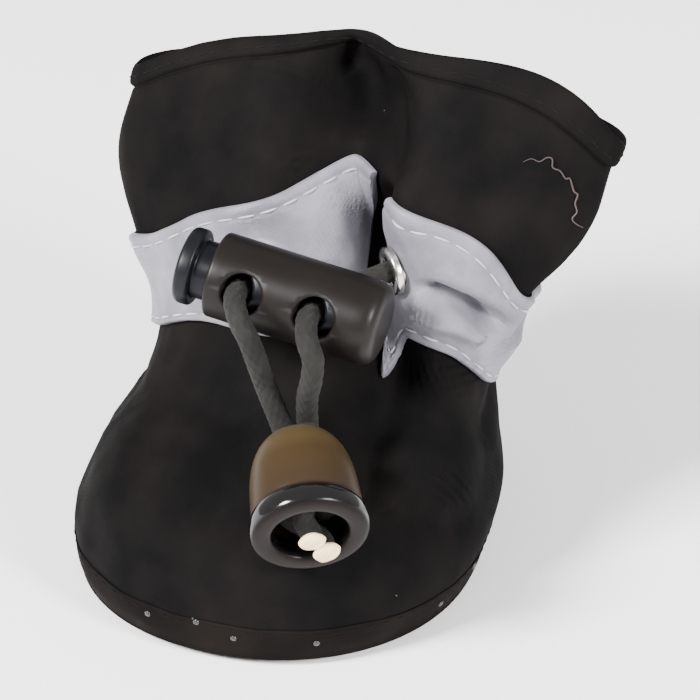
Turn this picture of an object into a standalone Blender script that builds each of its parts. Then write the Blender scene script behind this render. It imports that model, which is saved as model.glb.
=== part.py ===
"""A soft drawcord boot for a dog's paw, as an assembly of the pieces that a maker would sew and thread.

Frame: +Z up, the toe points along -Y and +X is the wearer's left. The origin is on the floor, under
the middle of the sole. Lengths are in metres.
"""

import math

import bmesh
import bpy
import numpy as np
from mathutils import Matrix, Vector

MM = 0.001

# The last: the sizes of the foot, the ankle and the flattened collar
FOOT_LENGTH = 62 * MM
BALL_WIDTH = 50.5 * MM
INSTEP_HEIGHT = 31 * MM
ANKLE_LENGTH = 37 * MM
ANKLE_WIDTH = 41 * MM
ANKLE_SET_BACK = 9.5 * MM
BAND_WIDTH = 19 * MM
COLLAR_LENGTH = 12.5 * MM
COLLAR_WIDTH = 60 * MM
COLLAR_SET_BACK = 15.2 * MM
SHAFT_HEIGHT = 13.5 * MM
SHAFT_LEAN = 5 * MM
SIDE_DROP = 15.5 * MM
CREASE_DEPTH = 10.5 * MM
CREASE_WIDTH = 5.6 * MM

# Cloth, sole and the gap that touching pieces keep
WALL = 1.0 * MM
HEM_STEP = 0.6 * MM
BAND_THICKNESS = 0.8 * MM
SOLE_THICKNESS = 1.2 * MM
SOLE_EDGE = 0.7 * MM
INSOLE_THICKNESS = 1.5 * MM
GAP = 0.3 * MM

# Eyelets of the drawcord, set either side of the front crease
EYELET_X = {"left": 13.0 * MM, "right": -2.5 * MM}
EYELET_SEAT = 0.45 * MM
EYELET_HOLE = 1.7 * MM
EYELET_BARREL = 2.1 * MM
EYELET_FLANGE = 3.0 * MM
EYELET_THICKNESS = 0.8 * MM

# The two-hole barrel lock on the drawcord
LOCK_RADIUS = 5.1 * MM
LOCK_LENGTH = 20.8 * MM
LOCK_END_WALL = 2.0 * MM
LOCK_BORE = 3.8 * MM
LOCK_HOLE = 2.4 * MM
LOCK_HOLE_PITCH = 9.0 * MM
LOCK_MOUTH_MARGIN = 2.2 * MM
LOCK_X = 4.2 * MM
LOCK_ABOVE_CORD_LINE = 0.3 * MM
LOCK_TILT = math.radians(8.5)
LOCK_HOLE_RISE = math.radians(15)
LOCK_STAND_OFF = 0.9 * MM
BUTTON_NECK = 2.1 * MM
BUTTON_HEAD = 1.9 * MM
BUTTON_HEAD_RADIUS = 4.6 * MM
BUTTON_OFFSET = 1.6 * MM
BUTTON_TRAVEL = 1.6 * MM

# The drawcord and the bell that covers its knot
CORD_DIAMETER = 2.6 * MM
BELL_LENGTH = 13.4 * MM
BELL_RIM = 7.0 * MM
BELL_NECK = 3.6 * MM
BELL_HOLE = 3.1 * MM
BELL_CAVITY = 4.8 * MM
BELL_CAVITY_DEPTH = 7.5 * MM
BELL_X = 12.7 * MM
BELL_PAST_TOE = 1.8 * MM
BELL_BELOW_INSTEP = 9.0 * MM
BELL_YAW = math.radians(27)
BELL_DIP = math.radians(22)
KNOT_RADIUS = 4.2 * MM
KNOT_HEIGHT = 5 * MM

# How finely the last is cut into facets
AROUND = 56
STEPS_PER_ROW = 2
FRONT_CROWDING = 0.45

# What each stretch of the last is measured by: width, length, set back, base height and height
ZONES = {
    "foot": (
        BALL_WIDTH,
        FOOT_LENGTH,
        0,
        SOLE_THICKNESS + GAP,
        INSTEP_HEIGHT - SOLE_THICKNESS - GAP,
    ),
    "ankle": (ANKLE_WIDTH, ANKLE_LENGTH, ANKLE_SET_BACK, INSTEP_HEIGHT, BAND_WIDTH),
    "collar": (
        COLLAR_WIDTH,
        COLLAR_LENGTH,
        COLLAR_SET_BACK,
        INSTEP_HEIGHT + BAND_WIDTH,
        SHAFT_HEIGHT,
    ),
}

# One row for each section of the last, from the feather edge up. Columns: zone; level as a share of
# the zone's height at the front; drop at the sides and at the back, as shares of SIDE_DROP; how far
# the front stays level before it drops, as a power; width as a share of the zone's width; reach to
# the front and to the back of the zone's middle, and the station of the widest point, as shares of
# half the zone's length; depth of the front crease as a share of CREASE_DEPTH; its place across, as
# a share of half the width; lean as a share of SHAFT_LEAN; squareness, where 2 is an ellipse.
COLUMNS = "level side back brow width front rear widest crease crease_x lean square".split()
SECTIONS = {
    "feather": ("foot", 0.0, 0.0, 0.00, 2.0, 0.92, 0.945, 0.94, -0.17, 0.00, 0.60, -0.20, 2.1),
    "turn": ("foot", 0.075, 0.0, 0.00, 2.0, 0.965, 0.985, 0.99, -0.17, 0.00, 0.60, -0.18, 2.1),
    "bulge": ("foot", 0.23, 0.0, 0.00, 2.0, 0.985, 1.00, 1.00, -0.17, 0.03, 0.60, -0.06, 2.1),
    "vamp_low": ("foot", 0.45, 0.05, 0.00, 2.0, 0.925, 0.97, 0.98, -0.10, 0.12, 0.58, 0.03, 2.1),
    "vamp_mid": ("foot", 0.63, 0.17, 0.09, 2.0, 0.88, 0.80, 0.94, 0.00, 0.28, 0.55, 0.08, 2.1),
    "throat": ("foot", 0.82, 0.32, 0.19, 2.2, 0.83, 0.52, 0.89, 0.12, 0.55, 0.50, 0.15, 2.1),
    "band_low": ("ankle", 0.06, 0.46, 0.38, 4.0, 1.00, 0.97, 1.00, -0.27, 0.90, 0.44, 0.23, 2.1),
    "cord_line": ("ankle", 0.50, 0.68, 0.62, 2.8, 1.04, 0.86, 0.89, -0.24, 1.00, 0.38, 0.30, 2.1),
    "band_high": ("ankle", 1.0, 0.92, 0.70, 2.2, 1.20, 0.74, 0.89, -0.20, 1.00, 0.22, 0.30, 2.2),
    "shaft": ("collar", 0.42, 0.82, 0.68, 2.9, 0.99, 2.00, 1.56, -0.68, 0.95, 0.12, 0.44, 2.3),
    "hem_seam": ("collar", 0.84, 0.66, 0.62, 3.3, 1.00, 1.25, 1.20, -0.40, 0.55, 0.07, 0.76, 2.4),
    "hem_top": ("collar", 0.95, 0.58, 0.57, 3.6, 1.00, 0.95, 1.00, -0.28, 0.42, 0.06, 0.90, 2.5),
}
STATION = {name: number for number, name in enumerate(SECTIONS)}
BROW_LEFT_SHARE = 1.4
HEEL_TAPER = 0.1
CREASE_FADE = 0.4


def sizes_of_row(row):
    """A row of SECTIONS in metres, in the order of COLUMNS_IN_METRES."""
    width, length, set_back, base, height = ZONES[row[0]]
    level, side, back, brow, wide, front, rear, widest, crease, crease_x, lean, square = row[1:]
    top = base + level * height
    return (
        top,
        top - side * SIDE_DROP,
        top - back * SIDE_DROP,
        brow,
        wide * width / 2,
        set_back - front * length / 2,
        set_back + rear * length / 2,
        set_back + widest * length / 2,
        crease * CREASE_DEPTH,
        crease_x * width / 2,
        lean * SHAFT_LEAN,
        square,
    )


COLUMNS_IN_METRES = (
    "top side back brow half front rear widest crease crease_x lean square".split()
)
ROWS = np.array([sizes_of_row(row) for row in SECTIONS.values()])


def row_at(t):
    """The sizes at station t, read from a smooth curve through the rows. t counts rows from 0."""
    t = np.clip(t, 0, len(ROWS) - 1)
    first = np.minimum(np.floor(t).astype(int), len(ROWS) - 2)
    before = ROWS[np.maximum(first - 1, 0)]
    here, after = ROWS[first], ROWS[first + 1]
    beyond = ROWS[np.minimum(first + 2, len(ROWS) - 1)]
    f = (t - first)[..., None]
    rise_here, rise_after = (after - before) / 2, (beyond - here) / 2
    return (
        here * (2 * f**3 - 3 * f**2 + 1)
        + rise_here * (f**3 - 2 * f**2 + f)
        + after * (3 * f**2 - 2 * f**3)
        + rise_after * (f**3 - f**2)
    ).T


def last_surface(phi, t):
    """Points of the last. phi is the angle round it from the toe towards +X, and t is the station."""
    phi, t = np.broadcast_arrays(np.asarray(phi, float), np.asarray(t, float))
    top, side, back, brow, half, front, rear, widest, crease, crease_x, lean, square = row_at(t)
    across, along = np.sin(phi), np.cos(phi)
    square = square - np.where(along < 0, HEEL_TAPER, 0)
    round_out = (np.abs(across) ** square + np.abs(along) ** square) ** (-1 / square)
    x = half * round_out * across
    reach = np.where(along > 0, widest - front, rear - widest)
    y = widest - reach * round_out * along
    from_crease = x + lean - crease_x
    fade = np.clip(along / CREASE_FADE, 0, 1)
    y = y + crease * np.exp(-((from_crease / CREASE_WIDTH) ** 2)) * fade**2 * (3 - 2 * fade)
    to_edge = np.where(from_crease > 0, half + lean - crease_x, half - lean + crease_x)
    share = np.clip(np.abs(from_crease) / to_edge, 0, 1)
    brow = brow * np.where(from_crease > 0, BROW_LEFT_SHARE, 1 / BROW_LEFT_SHARE)
    level = 1 - share**brow
    z = np.where(along > 0, side + (top - side) * level, side + (back - side) * along**2)
    return np.stack([x + lean, y, z], axis=-1)


def skin(phi, t, offset=0.0):
    """The last's surface moved out by offset along its normal."""
    step = 1e-3
    points = last_surface(phi, t)
    low, high = np.maximum(t - step, 0), np.minimum(t + step, len(ROWS) - 1)
    along_phi = last_surface(phi + step, t) - last_surface(phi - step, t)
    along_t = last_surface(phi, high) - last_surface(phi, low)
    normal = np.cross(along_phi, along_t)
    normal /= np.linalg.norm(normal, axis=-1, keepdims=True)
    return points + np.asarray(offset)[..., None] * normal, normal


def front_angle(t, x):
    """The angle at which station t crosses the upright plane at x, on the front."""
    low, high = -math.pi / 2, math.pi / 2
    for _ in range(30):
        middle = (low + high) / 2
        if last_surface(middle, t)[0] < x:
            low = middle
        else:
            high = middle
    return middle


def angles_around(t):
    """Angles round the last at station t: the first is on the crease, and they crowd together there."""
    row = dict(zip(COLUMNS_IN_METRES, row_at(np.array(t))))
    crease = front_angle(t, row["crease_x"] + row["lean"])
    turn = np.arange(AROUND) * 2 * math.pi / AROUND
    turn = turn - FRONT_CROWDING * np.sin(turn)
    return turn + crease * (1 + np.cos(turn)) / 2


def ring(t, offset=0.0):
    """One ring of points round the last."""
    return skin(angles_around(t), np.full(AROUND, float(t)), np.full(AROUND, offset))[0]


def stations(first, last):
    """Evenly spaced stations between two named rows."""
    low, high = STATION[first], STATION[last]
    return np.linspace(low, high, (high - low) * STEPS_PER_ROW + 1)


def material(name, colour, roughness, metallic=0.0, alpha=1.0):
    made = bpy.data.materials.new(name)
    made.use_nodes = True
    shader = made.node_tree.nodes["Principled BSDF"]
    shader.inputs["Base Color"].default_value = (*colour, 1)
    shader.inputs["Roughness"].default_value = roughness
    shader.inputs["Metallic"].default_value = metallic
    shader.inputs["Alpha"].default_value = alpha
    return made


def place(name, mesh, look, matrix=None):
    """Puts a mesh or curve in the boot's collection."""
    obj = bpy.data.objects.new(name, mesh)
    obj.matrix_world = matrix or Matrix.Identity(4)
    if look:
        mesh.materials.append(look)
    BOOT.objects.link(obj)
    return obj


def smooth(obj, degrees=40):
    obj.data.shade_smooth()
    obj.data.set_sharp_from_angle(angle=math.radians(degrees))


def loft(name, rings, look, capped):
    """A closed skin over rings of equal count. Without caps the last ring is joined to the first.

    Every quad is split on the diagonal that climbs with i, so that skins a gap apart stay apart.
    """
    mesh = bpy.data.meshes.new(name)
    work = bmesh.new()
    verts = [[work.verts.new(point) for point in points] for points in rings]
    pairs = list(zip(verts, verts[1:]))
    if not capped:
        pairs.append((verts[-1], verts[0]))
    for first, second in pairs:
        climbing = sum(vert.co.z for vert in first) < sum(vert.co.z for vert in second)
        lower, upper = (first, second) if climbing else (second, first)
        for i in range(len(lower)):
            j = (i + 1) % len(lower)
            work.faces.new((lower[i], lower[j], upper[j]))
            work.faces.new((lower[i], upper[j], upper[i]))
    if capped:
        work.faces.new(verts[0])
        work.faces.new(verts[-1])
    bmesh.ops.recalc_face_normals(work, faces=work.faces)
    work.to_mesh(mesh)
    work.free()
    obj = place(name, mesh, look)
    smooth(obj)
    return obj


def turned(name, profile, look, matrix, sides=32, closed=False):
    """A profile of (radius, height) points, swept round the object's own Z axis."""
    mesh = bpy.data.meshes.new(name)
    edges = [(i, i + 1) for i in range(len(profile) - 1)]
    if closed:
        edges.append((len(profile) - 1, 0))
    mesh.from_pydata([(radius, 0, height) for radius, height in profile], edges, [])
    obj = place(name, mesh, look, matrix)
    screw = obj.modifiers.new("sweep", "SCREW")
    screw.axis = "Z"
    screw.steps = screw.render_steps = sides
    screw.use_merge_vertices = True
    screw.merge_threshold = 1e-5
    screw.use_smooth_shade = True
    return obj


def round_cutter(name, radius, length, matrix, sides=24):
    """A cylinder about the matrix's Z axis, used only to cut."""
    work = bmesh.new()
    bmesh.ops.create_cone(
        work, cap_ends=True, segments=sides, radius1=radius, radius2=radius, depth=length
    )
    mesh = bpy.data.meshes.new(name)
    work.to_mesh(mesh)
    work.free()
    cutter = bpy.data.objects.new(name, mesh)
    cutter.matrix_world = matrix
    cutter.hide_render = True
    cutter.display_type = "WIRE"
    CUTTERS.objects.link(cutter)
    return cutter


def cut(obj, cutter):
    boolean = obj.modifiers.new(cutter.name, "BOOLEAN")
    boolean.operation = "DIFFERENCE"
    boolean.object = cutter


def frame_at(origin, z_axis, x_hint):
    """A placing whose Z axis is z_axis and whose X axis is as near x_hint as it can be."""
    z = Vector(z_axis).normalized()
    x = Vector(x_hint)
    x = (x - z * x.dot(z)).normalized()
    y = z.cross(x)
    matrix = Matrix((x, y, z)).transposed().to_4x4()
    matrix.translation = Vector(origin)
    return matrix


def build_upper(look):
    """The cloth upper: foot bag and shaft in one hollow wall, thicker where the hem is folded."""
    hem = STATION["hem_seam"]
    foot_and_shaft = stations("feather", "hem_seam")
    hem_rows = stations("hem_seam", "hem_top")
    hem_step = 0.02
    outer = [ring(t) for t in foot_and_shaft]
    outer += [ring(max(t, hem + hem_step), HEM_STEP) for t in hem_rows]
    inner = [ring(t, -WALL) for t in hem_rows[::-1]]
    inner += [ring(t, -WALL) for t in foot_and_shaft[-2::-1]]
    return loft("upper", outer + inner, look, capped=False)


def build_outsole(look):
    """The rubber-dotted sole cloth: flat on the floor, with its edge turned up round the foot."""
    flat_share = 0.965
    turn_up = 1.35
    toe_rise = 0.25
    phi = angles_around(STATION["feather"])
    edge = turn_up + toe_rise * np.cos(phi)
    feather = ring(STATION["feather"])
    middle = np.array([0, feather[:, 1].mean(), 0])

    def flat(height):
        points = middle + (feather - middle) * flat_share
        points[:, 2] = height
        return points

    def turned_up(share, offset):
        return skin(phi, edge * share, np.full(AROUND, offset))[0]

    def thickness(share):
        return SOLE_THICKNESS + (SOLE_EDGE - SOLE_THICKNESS) * share

    shares = (0, 0.33, 0.67, 1)
    rings = [flat(0)]
    rings += [turned_up(share, GAP + thickness(share)) for share in shares]
    rings += [turned_up(share, GAP) for share in shares[::-1]]
    rings += [flat(SOLE_THICKNESS)]
    return loft("outsole", rings, look, capped=True)


def build_insole(look):
    """The loose inner sole that lies on the outsole, inside the upper."""
    outline = ring(STATION["feather"], -(WALL + 2 * GAP))
    bottom, top = outline.copy(), outline.copy()
    bottom[:, 2] = SOLE_THICKNESS + GAP
    top[:, 2] = bottom[:, 2] + INSOLE_THICKNESS
    return loft("insole", [bottom, top], look, capped=True)


def build_band(look):
    """The reflective band round the ankle, with a hole for each eyelet."""
    rows = stations("band_low", "band_high")
    outer = [ring(t, GAP + BAND_THICKNESS) for t in rows]
    inner = [ring(t, GAP) for t in rows[::-1]]
    return loft("ankle_band", outer + inner, look, capped=False)


def eyelet_frames():
    """Where each eyelet sits: on the band, at the cord line, either side of the crease."""
    t = float(STATION["cord_line"])
    frames = {}
    for side, x in EYELET_X.items():
        point, normal = skin(front_angle(t, x), t, GAP + BAND_THICKNESS)
        frames[side] = frame_at(point, normal, (0, 0, 1))
    return frames


def build_eyelet(side, matrix, look, band):
    """One metal eyelet. Its barrel reaches half way through the band's hole."""
    flange_top = EYELET_SEAT + EYELET_THICKNESS
    rounding = EYELET_THICKNESS / 3
    barrel_end = -BAND_THICKNESS / 2
    profile = [
        (EYELET_HOLE, barrel_end),
        (EYELET_HOLE, flange_top - rounding),
        (EYELET_HOLE + rounding, flange_top),
        (EYELET_FLANGE - rounding, flange_top),
        (EYELET_FLANGE, flange_top - rounding),
        (EYELET_FLANGE, EYELET_SEAT),
        (EYELET_BARREL, EYELET_SEAT),
        (EYELET_BARREL, barrel_end),
    ]
    turned("eyelet_" + side, profile, look, matrix, sides=24, closed=True)
    hole_length = 4 * (BAND_THICKNESS + GAP)
    cut(band, round_cutter("hole_" + side, EYELET_BARREL + GAP, hole_length, matrix))


def lock_frame():
    """The lock's own frame: Z along its barrel to the closed end, X out through its cord holes."""
    front = ring(STATION["cord_line"], GAP + BAND_THICKNESS)[:, 1].min()
    cord_line = dict(zip(COLUMNS_IN_METRES, ROWS[STATION["cord_line"]]))
    height = cord_line["top"] + LOCK_ABOVE_CORD_LINE
    centre = (LOCK_X, front - LOCK_STAND_OFF - LOCK_RADIUS, height)
    along = (math.cos(LOCK_TILT), 0, -math.sin(LOCK_TILT))
    out = (0, -math.cos(LOCK_HOLE_RISE), math.sin(LOCK_HOLE_RISE))
    return frame_at(centre, along, out)


def lock_hole_heights():
    """The places of the two cord holes along the barrel, from its middle."""
    first = -LOCK_LENGTH / 2 + LOCK_MOUTH_MARGIN + LOCK_HOLE
    return first, first + LOCK_HOLE_PITCH


def build_lock_barrel(look, matrix):
    """The lock's barrel: blind at one end, with two holes across it."""
    mouth, end = -LOCK_LENGTH / 2, LOCK_LENGTH / 2
    rounding = 1.0 * MM
    profile = [
        (0, end),
        (LOCK_RADIUS - 2 * rounding, end),
        (LOCK_RADIUS - rounding / 2, end - rounding / 2),
        (LOCK_RADIUS, end - 2 * rounding),
        (LOCK_RADIUS, mouth + rounding / 3),
        (LOCK_RADIUS - rounding / 3, mouth),
        (LOCK_BORE, mouth),
        (LOCK_BORE, end - LOCK_END_WALL),
        (0, end - LOCK_END_WALL),
    ]
    barrel = turned("lock_barrel", profile, look, matrix, sides=32)
    for number, height in enumerate(lock_hole_heights()):
        across = matrix @ Matrix.Translation((0, 0, height)) @ Matrix.Rotation(math.pi / 2, 4, "Y")
        cutter = round_cutter(f"barrel_hole_{number}", LOCK_HOLE, 4 * LOCK_RADIUS, across)
        cut(barrel, cutter)


def build_lock_button(look, matrix):
    """The lock's sprung button: its stem fills the bore, and its holes stand short of the barrel's."""
    mouth = -LOCK_LENGTH / 2
    stem = LOCK_BORE - GAP
    stem_end = LOCK_LENGTH / 2 - LOCK_END_WALL - BUTTON_TRAVEL - GAP
    neck_start = mouth - BUTTON_NECK
    head_start = neck_start - BUTTON_HEAD
    rounding = BUTTON_HEAD / 3
    profile = [
        (0, stem_end),
        (stem - rounding, stem_end),
        (stem, stem_end - rounding),
        (stem, neck_start),
        (BUTTON_HEAD_RADIUS, neck_start),
        (BUTTON_HEAD_RADIUS, head_start + rounding),
        (BUTTON_HEAD_RADIUS - rounding, head_start),
        (0, head_start),
    ]
    button = turned("lock_button", profile, look, matrix, sides=28)
    for number, height in enumerate(lock_hole_heights()):
        shifted = Matrix.Translation((0, 0, height - BUTTON_OFFSET))
        across = matrix @ shifted @ Matrix.Rotation(math.pi / 2, 4, "Y")
        cut(button, round_cutter(f"button_hole_{number}", LOCK_HOLE, 4 * LOCK_RADIUS, across))


def bell_frame():
    """The bell lies on the vamp. Its Z axis points back up its own neck, from the middle of its rim."""
    forward = math.cos(BELL_DIP)
    mouth = (
        forward * math.sin(BELL_YAW),
        -forward * math.cos(BELL_YAW),
        -math.sin(BELL_DIP),
    )
    rim_middle = (BELL_X, -FOOT_LENGTH / 2 - BELL_PAST_TOE, INSTEP_HEIGHT - BELL_BELOW_INSTEP)
    return frame_at(rim_middle, [-part for part in mouth], (1, 0, 0))


def build_bell(look, matrix):
    """The bell over the knot: a dome with a ring, a flared rim and an open mouth."""
    rim, neck, top = BELL_RIM, BELL_NECK, BELL_LENGTH
    cavity, hole, deep = BELL_CAVITY, BELL_HOLE, BELL_CAVITY_DEPTH
    outside = ((0.95, 0.61), (0.88, 0.71), (0.80, 0.78), (0.68, 0.85), (0.50, 0.90))
    outside += ((0.27, 0.92), (0.22, 0.93), (0.18, 0.98), (0.09, 1.0), (0.0, 0.92))
    profile = [(hole, top), (neck, top)]
    profile += [(max(rim * across, neck), top * up) for up, across in outside]
    profile += [
        (cavity, 0),
        (cavity, deep),
        (hole, deep + (cavity - hole)),
    ]
    return turned("cord_bell", profile, look, matrix, sides=28, closed=True)


def build_knot(look, matrix):
    """The knot in the bell's mouth, as one plain closed form."""
    work = bmesh.new()
    bmesh.ops.create_uvsphere(work, u_segments=16, v_segments=10, radius=1)
    mesh = bpy.data.meshes.new("cord_knot")
    work.to_mesh(mesh)
    work.free()
    mesh.transform(Matrix.Diagonal((KNOT_RADIUS, KNOT_RADIUS, KNOT_HEIGHT / 2, 1)))
    height = BELL_CAVITY_DEPTH - KNOT_HEIGHT / 2 - GAP
    knot = place("cord_knot", mesh, look, matrix @ Matrix.Translation((0, 0, height)))
    smooth(knot, 60)


# How each free end of the drawcord hangs between the lock and the bell. Columns: millimetres across
# from its hole, millimetres forward of the lock's middle, and share of the drop from its hole to
# the bell's neck. The points of the cord stand close together, because its bends are tight.
HANGING = {
    "right": ((1.6, 7.7, 0.05), (3.2, 8.4, 0.20), (4.2, 8.0, 0.42), (4.7, 6.8, 0.64)),
    "left": ((1.2, 7.8, 0.05), (2.2, 8.5, 0.20), (1.8, 8.0, 0.42), (0.9, 6.8, 0.64)),
}
CORD_INTO_BELL = ((2.8, 1.05), (0.4, 1.0), (-3.6, 1.0))
CORD_POINT_SPACING = 1.2 * CORD_DIAMETER


def cord_route(side, eyelet, lock, bell, hole_height):
    """One free end: out of its eyelet, through the lock, down, and into the bell."""
    passage = hole_height - BUTTON_OFFSET / 2
    inside_band = GAP / 6 - BAND_THICKNESS
    route = [eyelet @ Vector((0, 0, inside_band)), eyelet @ Vector((0, 0, EYELET_THICKNESS))]
    for out, down in ((-0.75, -0.05), (0, 0), (0.85, 0.08)):
        route.append(lock @ Vector((out * LOCK_RADIUS, down * LOCK_RADIUS, passage)))
    start = route[-1]
    neck = bell @ Vector((0, 0, BELL_LENGTH))
    for across, forward, drop in HANGING[side]:
        x = start.x + across * MM
        y = lock.translation.y - forward * MM
        route.append(Vector((x, y, start.z + (neck.z - start.z) * drop)))
    apart = (CORD_DIAMETER + GAP) / 2 * (1 if side == "left" else -1)
    for beyond, spread in CORD_INTO_BELL:
        route.append(bell @ Vector((apart * spread, 0, BELL_LENGTH + beyond * MM)))
    return route


def smooth_route(points, spacing):
    """Evenly spaced points on a smooth curve through the route's own points."""
    points = np.array(points, float)
    ends = np.vstack([2 * points[0] - points[1], points, 2 * points[-1] - points[-2]])
    line = []
    for i in range(1, len(ends) - 2):
        a, b, c, d = ends[i - 1 : i + 3]
        for f in np.linspace(0, 1, 12, endpoint=False):
            rise_b, rise_c = (c - a) / 2, (d - b) / 2
            line.append(
                b * (2 * f**3 - 3 * f**2 + 1)
                + rise_b * (f**3 - 2 * f**2 + f)
                + c * (3 * f**2 - 2 * f**3)
                + rise_c * (f**3 - f**2)
            )
    line = np.array(line + [ends[-2]])
    length = np.concatenate([[0], np.cumsum(np.linalg.norm(np.diff(line, axis=0), axis=1))])
    count = max(2, round(length[-1] / spacing) + 1)
    wanted = np.linspace(0, length[-1], count)
    return np.stack([np.interp(wanted, length, line[:, k]) for k in range(3)], axis=1)


def build_cord(side, route, look):
    """One free end of the elastic drawcord, as a plain round tube."""
    route = smooth_route(route, CORD_POINT_SPACING)
    curve = bpy.data.curves.new("cord_" + side, "CURVE")
    curve.dimensions = "3D"
    curve.bevel_depth = CORD_DIAMETER / 2
    curve.bevel_resolution = 2
    curve.use_fill_caps = True
    spline = curve.splines.new("POLY")
    spline.points.add(len(route) - 1)
    for point, place_of in zip(spline.points, route):
        point.co = (*place_of, 1)
    return place("cord_" + side, curve, look)


def main():
    black_cloth = material("black_cloth", (0.018, 0.017, 0.018), 0.75)
    sole_cloth = material("sole_cloth", (0.022, 0.019, 0.018), 0.6)
    lining = material("lining_cloth", (0.03, 0.03, 0.032), 0.9)
    silver_tape = material("silver_tape", (0.36, 0.36, 0.40), 0.45)
    steel = material("bright_steel", (0.62, 0.61, 0.58), 0.25, metallic=1.0)
    black_plastic = material("black_plastic", (0.022, 0.02, 0.021), 0.35)
    smoke_plastic = material("smoke_plastic", (0.09, 0.055, 0.03), 0.12)
    elastic = material("black_elastic", (0.03, 0.03, 0.028), 0.8)

    build_outsole(sole_cloth)
    build_insole(lining)
    build_upper(black_cloth)
    band = build_band(silver_tape)
    eyelets = eyelet_frames()
    for side, matrix in eyelets.items():
        build_eyelet(side, matrix, steel, band)
    lock = lock_frame()
    build_lock_barrel(black_plastic, lock)
    build_lock_button(black_plastic, lock)
    bell = bell_frame()
    build_bell(smoke_plastic, bell)
    build_knot(elastic, bell)
    first_hole, second_hole = lock_hole_heights()
    for side, hole_height in (("right", first_hole), ("left", second_hole)):
        build_cord(side, cord_route(side, eyelets[side], lock, bell, hole_height), elastic)


for old in list(bpy.data.objects):
    bpy.data.objects.remove(old)
BOOT = bpy.data.collections.new("dog_boot")
CUTTERS = bpy.data.collections.new("cutters")
bpy.context.scene.collection.children.link(BOOT)
bpy.context.scene.collection.children.link(CUTTERS)
main()
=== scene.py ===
# %% [markdown]
# # A drawcord boot for a dog's paw
# The boot is a soft bag of black cloth with a dotted sole. A reflective band round the ankle holds
# the drawcord, a sprung lock grips its two free ends, and a smoke-brown bell covers their knot.
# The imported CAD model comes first: it is the fixed frame that every piece here is fitted to.

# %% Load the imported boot
import math
from itertools import product

import bmesh
import bpy
import numpy as np
from mathutils import Matrix, Vector


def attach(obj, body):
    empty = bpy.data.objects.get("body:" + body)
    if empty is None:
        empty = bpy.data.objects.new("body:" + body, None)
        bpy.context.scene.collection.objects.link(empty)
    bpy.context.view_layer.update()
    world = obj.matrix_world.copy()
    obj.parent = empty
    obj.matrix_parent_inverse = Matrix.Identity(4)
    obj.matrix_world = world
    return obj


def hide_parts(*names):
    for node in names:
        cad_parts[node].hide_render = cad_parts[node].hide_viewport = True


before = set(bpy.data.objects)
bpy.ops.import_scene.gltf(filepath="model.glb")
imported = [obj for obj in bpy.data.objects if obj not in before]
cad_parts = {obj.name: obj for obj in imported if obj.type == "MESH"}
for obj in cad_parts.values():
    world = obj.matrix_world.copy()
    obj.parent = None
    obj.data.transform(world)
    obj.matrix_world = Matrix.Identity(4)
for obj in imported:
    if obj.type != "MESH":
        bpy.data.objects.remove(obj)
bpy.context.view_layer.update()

MM = 0.001

# %% [markdown]
# ## The camera
# A product photograph like this one is taken from well back with a long lens, so that near and far
# parts keep their proportions. The camera stands where the photographer stood: 20 degrees round
# from the toe and 33 degrees up. It is turned to frame this one boot, so it needs no lens shift.

# %% The camera
CAMERA_ROUND = math.radians(20)
CAMERA_UP = math.radians(33)
CAMERA_DISTANCE = 0.57
STOOD_AT = Vector((0, -5.5, 0)) * MM
VIEW_WIDTH = 85.6 * MM
VIEW_CENTRE = (7.6 * MM, 25.1 * MM)

back = Vector(
    (
        math.sin(CAMERA_ROUND) * math.cos(CAMERA_UP),
        -math.cos(CAMERA_ROUND) * math.cos(CAMERA_UP),
        math.sin(CAMERA_UP),
    )
)
right = Vector((math.cos(CAMERA_ROUND), math.sin(CAMERA_ROUND), 0))
up = back.cross(right)
towards = (right * VIEW_CENTRE[0] + up * VIEW_CENTRE[1] - back * CAMERA_DISTANCE).normalized()
turn = (-back).rotation_difference(towards).to_matrix() @ Matrix((right, up, back)).transposed()
lens = bpy.data.cameras.new("camera")
lens.lens = lens.sensor_width * CAMERA_DISTANCE / VIEW_WIDTH
lens.clip_start = 0.01
camera = bpy.data.objects.new("camera", lens)
camera.matrix_world = Matrix.Translation(STOOD_AT + back * CAMERA_DISTANCE) @ turn.to_4x4()
bpy.context.scene.collection.objects.link(camera)
bpy.context.scene.camera = camera
print("lens", round(lens.lens), "mm")

# %% [markdown]
# ## The last
# A shoemaker shapes cloth over a last. Here the last is a function: given an angle round the foot
# and a station up it, it returns a point. It could be a sculpted mesh instead, but then each piece
# would need fitting by eye. With a function, the cloth, the band and the sole all take their shape
# from one set of sizes, which are the sizes of the CAD solids.

# %% Sizes of the last
WALL = 1.0 * MM
BAND_THICKNESS = 0.8 * MM
SOLE_THICKNESS = 1.2 * MM
GAP = 0.3 * MM
SIDE_DROP = 15.5 * MM
CREASE_DEPTH = 10.5 * MM
CREASE_WIDTH = 5.6 * MM
SHAFT_LEAN = 5 * MM
BROW_LEFT_SHARE = 1.4
HEEL_TAPER = 0.1
CREASE_FADE = 0.4

# Zones of the last: width, length, set back, base height and height, in millimetres
ZONES = {
    "foot": (50.5, 62, 0, 1.5, 29.5),
    "ankle": (41, 37, 9.5, 31, 19),
    "collar": (60, 12.5, 15.2, 50, 13.5),
}
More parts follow.
